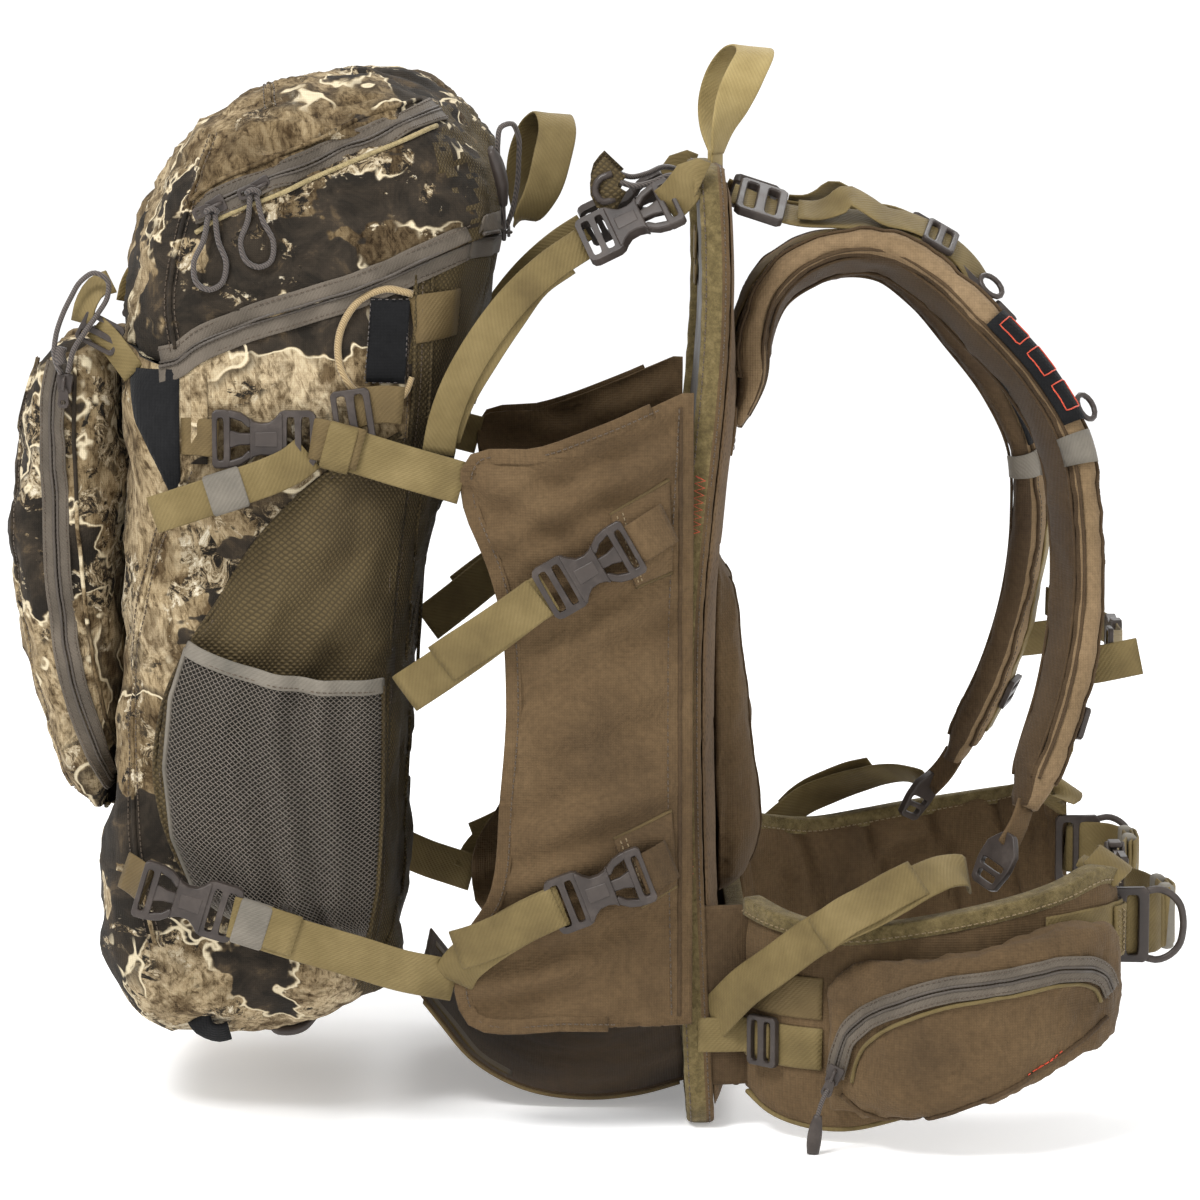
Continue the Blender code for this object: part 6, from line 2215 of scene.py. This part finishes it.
def belt_wing(side, name):
    """A padded belt wing: moulded pads inside, smooth cloth outside, bound edges."""
    rows = belt_rows(96)
    rings = []
    for x, y, low, high, half, nx, ny, k in rows:
        ring = []
        for c, s in circle(56):
            c, s = bent(c, 0.6), bent(s, 0.45)
            z = (low + high) / 2 + (high - low) / 2 * s
            reach = half * c
            if c < 0:
                inside = min(1.0, max(0.0, (1 - abs(s)) / 0.14))
                groove = math.exp(-((k * 0.72 + 0.34 * s) % 1.0 - 0.5) ** 2 / 0.006)
                cross = math.exp(-((s - 0.30 - 0.22 * math.sin(k * 1.9)) / 0.07) ** 2)
                cross = max(cross, math.exp(-((s + 0.62) / 0.07) ** 2))
                reach *= 1 + 0.42 * inside * (1 - max(groove, cross)) - 0.42 * max(groove, cross) * inside
            ring.append((x + nx * reach, (y + ny * reach) * side, z))
        rings.append(ring)
    obj = loft("belt_pad_" + name, rings, "brown")
    rumple(obj, (60, 1.8, 81.0 + side), (24, 0.8, 84.0))
    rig.replaces(obj, "belt_wing_" + name)
    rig.padded(obj, 0.6)
    how = belt_how(side, name)
    attach(obj, how)
    for tag, index, width, mat, step in (("top", 3, 6.0, "binding", 1.0), ("low", 2, 4.2, "webbing", -1.0)):
        line = np.array([(r[0], r[1] * side, r[index] + step * 0.6) for r in rows[1:-1]])
        tape = ribbon("belt_binding_%s_%s" % (tag, name), line, width, 2.6, (0, 0, step), mat,
                      count=len(line))
        attach(tape, how)
        if tag == "top":
            for sign, where in ((1, "out"), (-1, "in")):
                edge = np.array([(r[0] + r[5] * sign * 6.0, (r[1] + r[6] * sign * 6.0) * side, r[3] - 3.5)
                                 for r in rows[1:-1]])
                outs = np.array([(r[5] * sign, r[6] * sign * side, 0) for r in rows[1:-1]])
                attach(ribbon("belt_lip_%s_%s" % (where, name), edge, 5.0, 1.6, outs, mat, count=len(edge)),
                       how)
                attach(stitches("belt_lip_stitch_%s_%s" % (where, name),
                                edge + outs * 1.1 - np.array((0, 0, 2.6)), outs, "thread", 3.8, 2.5, 0.8),
                                how)
    return rows


def belt_point(rows, k, height, lift, side):
    """A point on the outside of the belt at station k (0..8) and absolute height, and the direction out."""
    x, y, _, _, half, nx, ny = belt_at(rows, k)
    reach = half + lift
    return np.array((x + nx * reach, (y + ny * reach) * side, height)), np.array((nx, ny * side, 0))


def belt_bands(side, name, rows):
    """Webbing bands at the belt's root, their ladder, and the wide webbing to the front ladder."""
    how = belt_how(side, name)
    body = "belt_" + name
    for tag, low, high, k1, mat in (("upper", 88, 86, 1.75, "webbing_dark"),
                                    ("lower", 58, 56, 1.75, "webbing")):
        pairs = [belt_point(rows, k, low + (high - low) * k / 2, 1.3, side)
                 for k in np.linspace(0.25, k1, 16)]
        line, outs = split(pairs)
        attach(ribbon("belt_root_%s_%s" % (tag, name), line, 12.5, 1.8, outs, mat, count=len(line)), how)
    centre, out = belt_point(rows, 0.95, 58, 4.4, side)
    along = belt_point(rows, 1.1, 58, 4.4, side)[0] - centre
    t = unit([along])[0]
    small_buckle("belt_root_ladder_" + name, axes(centre, t, np.cross(out, t), out), how)
    pairs = [belt_point(rows, k, 117 + (k - 5.5) * 2.2, 1.5 if k < 7.5 else 3.0, side) for k in
             np.linspace(5.6, 8, 26)]
    line, outs = split(pairs)
    line[:, 2] = np.clip(line[:, 2], 110, 119)
    attach(ribbon("belt_front_web_" + name, line, 17.5, 2.0, outs, "webbing", count=len(line)), how)
    tab = [line[-9] + outs[-9] * 2.2, line[-5] + outs[-5] * 2.4, line[-2] + outs[-2] * 2.4,
           np.array((244, 127.0 * side, 118)), np.array((249, 124.4 * side, 118))]
    attach(ribbon("belt_front_tab_" + name, tab, 15.5, 2.0, (0.7, side * 0.7, 0), "webbing", count=16),
           body)
    for k in (-7, -5):
        row = line[k] + outs[k] * 3.6
        up_line = [row + np.array((0, 0, v)) for v in np.linspace(-13, 13, 8)]
        attach(zigzag("belt_tack_%d_%s" % (-k, name), up_line, outs[k], "thread", 1.6, 1.5, 0.45), body)


def belt_gusset(side, name, rows):
    """Cloth that joins the frame's edge to the root of the belt wing, and the ladder's anchor webbing."""
    verts = []
    for z in np.linspace(27, 135, 40):
        low = frame_x(z) + 5
        verts.append([(low + (27.5 - low) * t, (152.5 - 6.5 * t + 1.6 * math.sin(math.pi * t)
                                                + 0.8 * math.sin(z / 7.5 + 3 * t)) * side, z)
                      for t in np.linspace(0, 1, 14)])
    obj = loft("belt_gusset_" + name, verts, "brown_dark", closed=False)
    thicken(obj, 0.0014)
    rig.sheet(obj, flat=(0.032, 0.108), held="stretched", rests_on=["edge_tape"])
    attach(obj, "frame")
    line = [(frame_x(58) + 3, 155.6 * side, 58), (8, 155.2 * side, 58), (17, 154.6 * side, 58)]
    line += [belt_point(rows, k, 58, 2.7, side)[0] for k in (0.3, 0.55, 0.8, 1.05)]
    outs = np.array([(-0.1, side, 0)] * 3 + [belt_point(rows, k, 58, 2.7, side)[1]
                                             for k in (0.3, 0.55, 0.8, 1.05)])
    line = resample(np.column_stack([line, outs]), 18)
    attach(ribbon("belt_root_anchor_" + name, line[:, :3], 10.5, 1.7, line[:, 3:6], "webbing", count=18),
           belt_how(side, name))


def belt_ladder(side, name):
    """Moulded ladder with two bars and the ring in front."""
    base = Matrix.Translation((260, 124 * side, 118)) @ turned("X", 90)
    if side > 0:
        base = base @ Matrix.Scale(-1, 4, (0, 0, 1))
    rim = mirrored([(-24, 20), (-22, 22.4), (2, 22.8), (5, 20.5)])
    slots = [oval(-16, 0, 3.4, 18, 18, 7), oval(-5, 0, 3.6, 18, 18, 7)]
    parts = [plate("ladder_a", rim, 4.8, base, "plastic", slots, 1.5, 3)]
    arc_line = [(3, 20), (10, 21.4), (17, 19), (23.2, 12.6), (25.4, 4), (25.4, -4), (23.2, -12.6),
                (17, -19), (10, -21.4), (3, -20)]
    arc_points = [base @ Vector((u, v, 0)) for u, v in arc_line]
    parts.append(tube("ladder_b", arc_points, 2.2, "plastic", 10))
    obj = join("ladder_body_" + name, parts)
    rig.slot(obj, "hardware")
    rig.replaces(obj, "belt_ladder_" + name)
    attach(obj, "belt_" + name)


def belt_pocket(side, name, rows):
    """The zipped belt pocket: puffed cloth, curved zip, piping and pull."""
    rings = []
    keys = [(k, 0, 0, low, high, depth) for k, low, high, depth in POCKET_RINGS]
    stations = resample(keys, 46)
    for k, _, _, low, high, depth in stations:
        x, y, _, _, half, nx, ny = belt_at(rows, k)
        ring = []
        for c, s in circle(48):
            reach = half + 1.2 + depth / 2 * (1 + bent(c, 0.62))
            z = (low + high) / 2 + (high - low) / 2 * bent(s, 0.5)
            ring.append((x + nx * reach, (y + ny * reach) * side, z))
        rings.append(ring)
    obj = loft("belt_pouch_" + name, rings, "brown")
    inner = [(r[0], r[1], r[5], r[6], r[4]) for r in rows]

    def pinned(p):
        """How much of a swelling stays: none at the belt's core, all of it further out."""
        best = min(inner, key=lambda r: (r[0] - p[0]) ** 2 + (r[1] - abs(p[1])) ** 2)
        reach = (p[0] - best[0]) * best[2] + (abs(p[1]) - best[1]) * best[3] - best[4]
        return max(0.0, min(1.0, (reach - 5) / 8))

    obj = puff(obj, 0.0045, 4, 0.004, pinned)
    rumple(obj, (44, 2.4, 91.0 + side), (18, 1.1, 95.0), (20, 1.3, 99.0, (1, 1, 0.6), True))
    paint(obj, "brown")
    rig.replaces(obj, "belt_pocket_" + name)
    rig.padded(obj, 0.6)
    body = "belt_" + name
    attach(obj, body)
    skin = Skin(obj)
    arc_line = [(75, 44), (77.5, 56), (82.5, 70), (95, 84), (113, 94), (134, 101), (158, 105), (182, 108),
                (205, 111), (220, 109), (230, 102), (234, 93)]
    spots, outs = skin.lay(dense(arc_line, 4.0), 0.6, side=side)
    zip_line("belt_zip_" + name, spots, outs, 15, (body, body))
    piping = [(84, 42), (86.5, 54), (91, 64), (101, 75.5), (117, 85), (136, 92), (159, 96), (182, 99),
              (204, 102), (217, 100), (224, 95), (227, 88)]
    laid_tube("belt_zip_piping_" + name, skin, piping, 1.3, "webbing", 7, side, 0.9, body, 4.0)
    base_line = [(78, 34), (90, 24), (122, 24), (152, 34), (186, 50), (214, 66), (232, 78)]
    laid_tube("belt_pouch_seam_" + name, skin, base_line, 1.5, "brown_dark", 7, side, 0.5, body, 4.0)
    for k in range(3):
        line = [(184 + 4 * k, 51 + 2 * k), (190 + 4 * k, 54 + 2.4 * k), (197 + 3 * k, 56 + 3 * k)]
        spots, outs = skin.lay(dense(line, 3.0), 0.5, side=side)
        attach(stitches("pouch_mark_%d_%s" % (k, name), spots, outs, "thread_red", 2.6, 2.0, 0.7), body)
    slide = "belt_slider_" + name
    slider("belt_slider_body_" + name, slide, (73.2, side * 207.9, 46), (0.34, side * 0.15, 0.93),
           (-0.3, side, 0), slide, 11)
    cord = [(71, 208.6, 40), (67.6, 209.6, 34), (65, 210, 27), (63.2, 209.6, 18), (62.4, 209.4, 9)]
    rows_cord = onto(side, cord)
    pull = tube("belt_pull_cord_" + name, rows_cord, 1.4, "cord", 8, step=2)
    attach(pull, slide)
    grip = [(64.2, 209.8, 23, 2.4), (62.8, 209.5, 15, 4.0), (61.8, 209.2, 7, 4.4), (61.2, 209, 0, 3.6)]
    tip = onto(side, grip)
    grip = tube("belt_pull_grip_" + name, tip, 4, "plastic", 10, step=2, flat=0.6, hint=(0, 1, 0))
    attach(grip, slide)
    free_cord(pull, 1.4, "fitting", "hanging", (grip,))


def belt_front(side, name):
    """Belt webbing from ladder to buckle with its rolled, banded tail."""
    path = [(250, 123.8, 118), (256, 121.4, 118), (262, 120, 118), (268, 117, 118), (275.5, 103, 118),
            (277, 86, 118), (275, 68, 118), (270, 50, 118), (264.4, 38, 118), (262.2, 31.5, 118)]
    rows = onto(side, path)
    obj = ribbon("belt_web_" + name, rows, 18.6, 2.0, (1, side * 0.25, 0), "webbing", wave=1.0, seed=side)
    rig.replaces(obj, "belt_webbing_" + name)
    body = "belt_" + name
    attach(obj, body)
    for k in range(2):
        shift = 2.3 * (k + 1)
        fold = [(272 + shift, 108 - 4 * k, 118), (278 + shift, 98, 118.6), (279.4 + shift, 84, 118.4),
                (277.4 + shift, 68, 117.6), (274 + shift, 60 + 3 * k, 117)]
        rows = onto(side, fold)
        attach(ribbon("belt_fold_%d_%s" % (k, name), rows, 18.2, 1.8, (1, side * 0.2, 0), "webbing",
                      wave=1.4, seed=5 + k), body)
    for k, y in enumerate((98, 70)):
        keeper("belt_keeper_%d_%s" % (k, name), (278.6 if k == 0 else 277.4, y * side, 118.2),
               (-0.12, 1, 0), (1, 0, 0), 18.8, body, "rubber", 9, 8.4)
    upper = [(232, 146, 152), (240, 139, 158), (244, 130, 160), (242, 121, 158), (235, 118, 152),
             (231, 124, 147)]
    rows = onto(side, upper)
    attach(ribbon("belt_roll_" + name, rows, 12, 1.8, (0.7, 0, 1), "webbing", wave=0.8), body)


def belt_buckle():
    """Big front buckle: hollow female half, and a male half whose prongs squeeze."""
    base = upright((262, 13, 118))
    for tag, offset in (("front", 4.9), ("rear", -4.9)):
        holes = [oval(13.2, 0, 1.7, 19.2, 16, 7)]
        at = base @ Matrix.Translation((0, 0, offset))
        cover = mirrored([(-16.4, 18), (-14, 15.6), (-9, 14.6), (-4, 15.4), (2, 20), (8, 24), (14.6, 22.4),
                          (16.6, 18)])
        obj = plate("buckle_cover_" + tag, cover, 2.2, at, "plastic", holes, 0.9, 3)
        if tag == "front":
            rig.replaces(obj, "belt_buckle_female")
        attach(obj, "belt_left")
    for v in (-1, 1):
        rail = base @ Matrix.Translation((9.5, v * 22.2, 0))
        obj = box_bar("buckle_rail_%s" % ("low" if v < 0 else "high"), (13, 3.6, 8), rail, "plastic", 1.0)
        attach(obj, "belt_left")
    bar = box_bar("buckle_web_bar", (2.6, 41, 5.4), base @ Matrix.Translation((15.6, 0, 0)), "plastic", 1.0)
    attach(bar, "belt_left")
    for node in ("belt_buckle_male", "belt_prong_upper", "belt_prong_lower"):
        paint_node(node, "plastic")
        modify_node(node, 0.9)


def modify_node(node, width):
    """A rounded edge on a hard CAD node, as a live modifier that leaves its mesh alone."""
    obj = frame["nodes"][node]
    bevel = obj.modifiers.new("rounding", "BEVEL")
    bevel.width = width * MM
    bevel.segments = 2
    bevel.limit_method = "ANGLE"


# ---------------------------------------------------------------- stage
def stage_piece(name, verts, faces, tones, glow):
    """A part of the stage: plain, pale and a little bright of itself."""
    mesh = bpy.data.meshes.new(name)
    mesh.from_pydata(verts, [], faces)
    obj = added(name, mesh)
    shade = Shade("pale_" + name, roughness=0.9, specular=0.1 if name == "floor" else 0.0)
    shade.shader.inputs["Emission Color"].default_value = (1, 1, 1, 1)
    shade.shader.inputs["Emission Strength"].default_value = glow
    low, high = ((tone,) * 3 for tone in tones)
    mesh.materials.append(shade.finish(shade.ramp(shade.noise(3.0, 2), [(0.3, low), (0.7, high)])))
    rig.stage(obj)


def studio():
    """Pale floor, a bright ring far away, soft lights and the camera."""
    size, z, far, sides = 120.0, -0.0005, 100.0, 64
    corners = [(-size, -size, z), (size, -size, z), (size, size, z), (-size, size, z)]
    stage_piece("floor", corners, [(0, 1, 2, 3)], (0.95, 0.97), 0.26)
    ring = [(far * math.cos(a), far * math.sin(a), height) for height in (z, 14.0)
            for a in np.linspace(0, 2 * math.pi, sides, endpoint=False)]
    walls = [(k, (k + 1) % sides, sides + (k + 1) % sides, sides + k) for k in range(sides)]
    stage_piece("surround", ring, walls, (0.3, 0.32), 0.9)
    world = bpy.data.worlds.new("studio")
    SCENE.world = world
    world.use_nodes = True
    back = world.node_tree.nodes["Background"]
    back.inputs["Color"].default_value = (1, 1, 1, 1)
    back.inputs["Strength"].default_value = 0.82
    for name, place, power, width in (("key", (-1.2, -1.6, 2.6), 74, 1.0),
                                      ("fill", (2.2, -1.8, 1.2), 14, 2.0),
                                      ("rim", (0.6, 1.8, 2.4), 30, 1.6)):
        light = bpy.data.lights.new(name, "AREA")
        light.energy = power
        light.size = width
        lamp = added(name, light)
        lamp.location = place
        lamp.rotation_euler = (Vector((-0.06, 0, 0.3)) - Vector(place)).to_track_quat("-Z", "Y").to_euler()
    camera = bpy.data.cameras.new("camera")
    camera.sensor_width = 36
    camera.lens = 125.8
    camera.clip_start, camera.clip_end = 0.05, 300
    seen = added("camera", camera)
    elevation, distance = math.radians(7), 2.6
    target = Vector((-0.062, 0, 0.2975))
    seen.location = target + Vector((0, -math.cos(elevation), math.sin(elevation))) * distance
    seen.rotation_euler = (math.pi / 2 - elevation, 0, 0)
    SCENE.camera = seen
    SCENE.view_settings.view_transform = "Standard"


def main():
    """Builds the stage and every piece in turn."""
    studio()
    cad_materials()
    back_panel()
    edge_binding()
    lumbar_pad()
    belt_middle()
    load_shelf()
    bag_skin = bag_body()
    lid_skin = lid()
    main_zip(bag_skin, lid_skin)
    lid_pulls()
    front_pocket()
    bag_bottom()
    for side, name in SIDES:
        sling_wing(side, name)
        buckle_tab("a", side, name, ((-56, 368), (-22, 388), (-20, 334), (-41, 326)))
        buckle_tab("b", side, name, ((-54, 178), (-20, 194), (-17, 150), (-38, 138)))
        compression(side, name)
        frame_top(side, name)
        side_panels(bag_skin, side, name)
        bag_straps(side, name)
        mesh_pocket(side, name)
        strap_pad(side, name)
        harness_extras(side, name)
        rows = belt_wing(side, name)
        belt_bands(side, name, rows)
        belt_gusset(side, name, rows)
        belt_ladder(side, name)
        belt_pocket(side, name, rows)
        belt_front(side, name)
    standing_loop("haul_loop_web", "haul_loop", HAUL_ROWS, "haul_loop", "webbing_light")
    standing_loop("bag_loop_web", "bag_loop", BAG_LOOP_ROWS, "bag_loop", "webbing")
    sternum()
    belt_buckle()


main()
NEW_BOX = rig.bounds()
with open("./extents.json", "w") as out:
    json.dump({"cad": [list(v) for v in CAD_BOX], "visual": [list(v) for v in NEW_BOX]}, out)
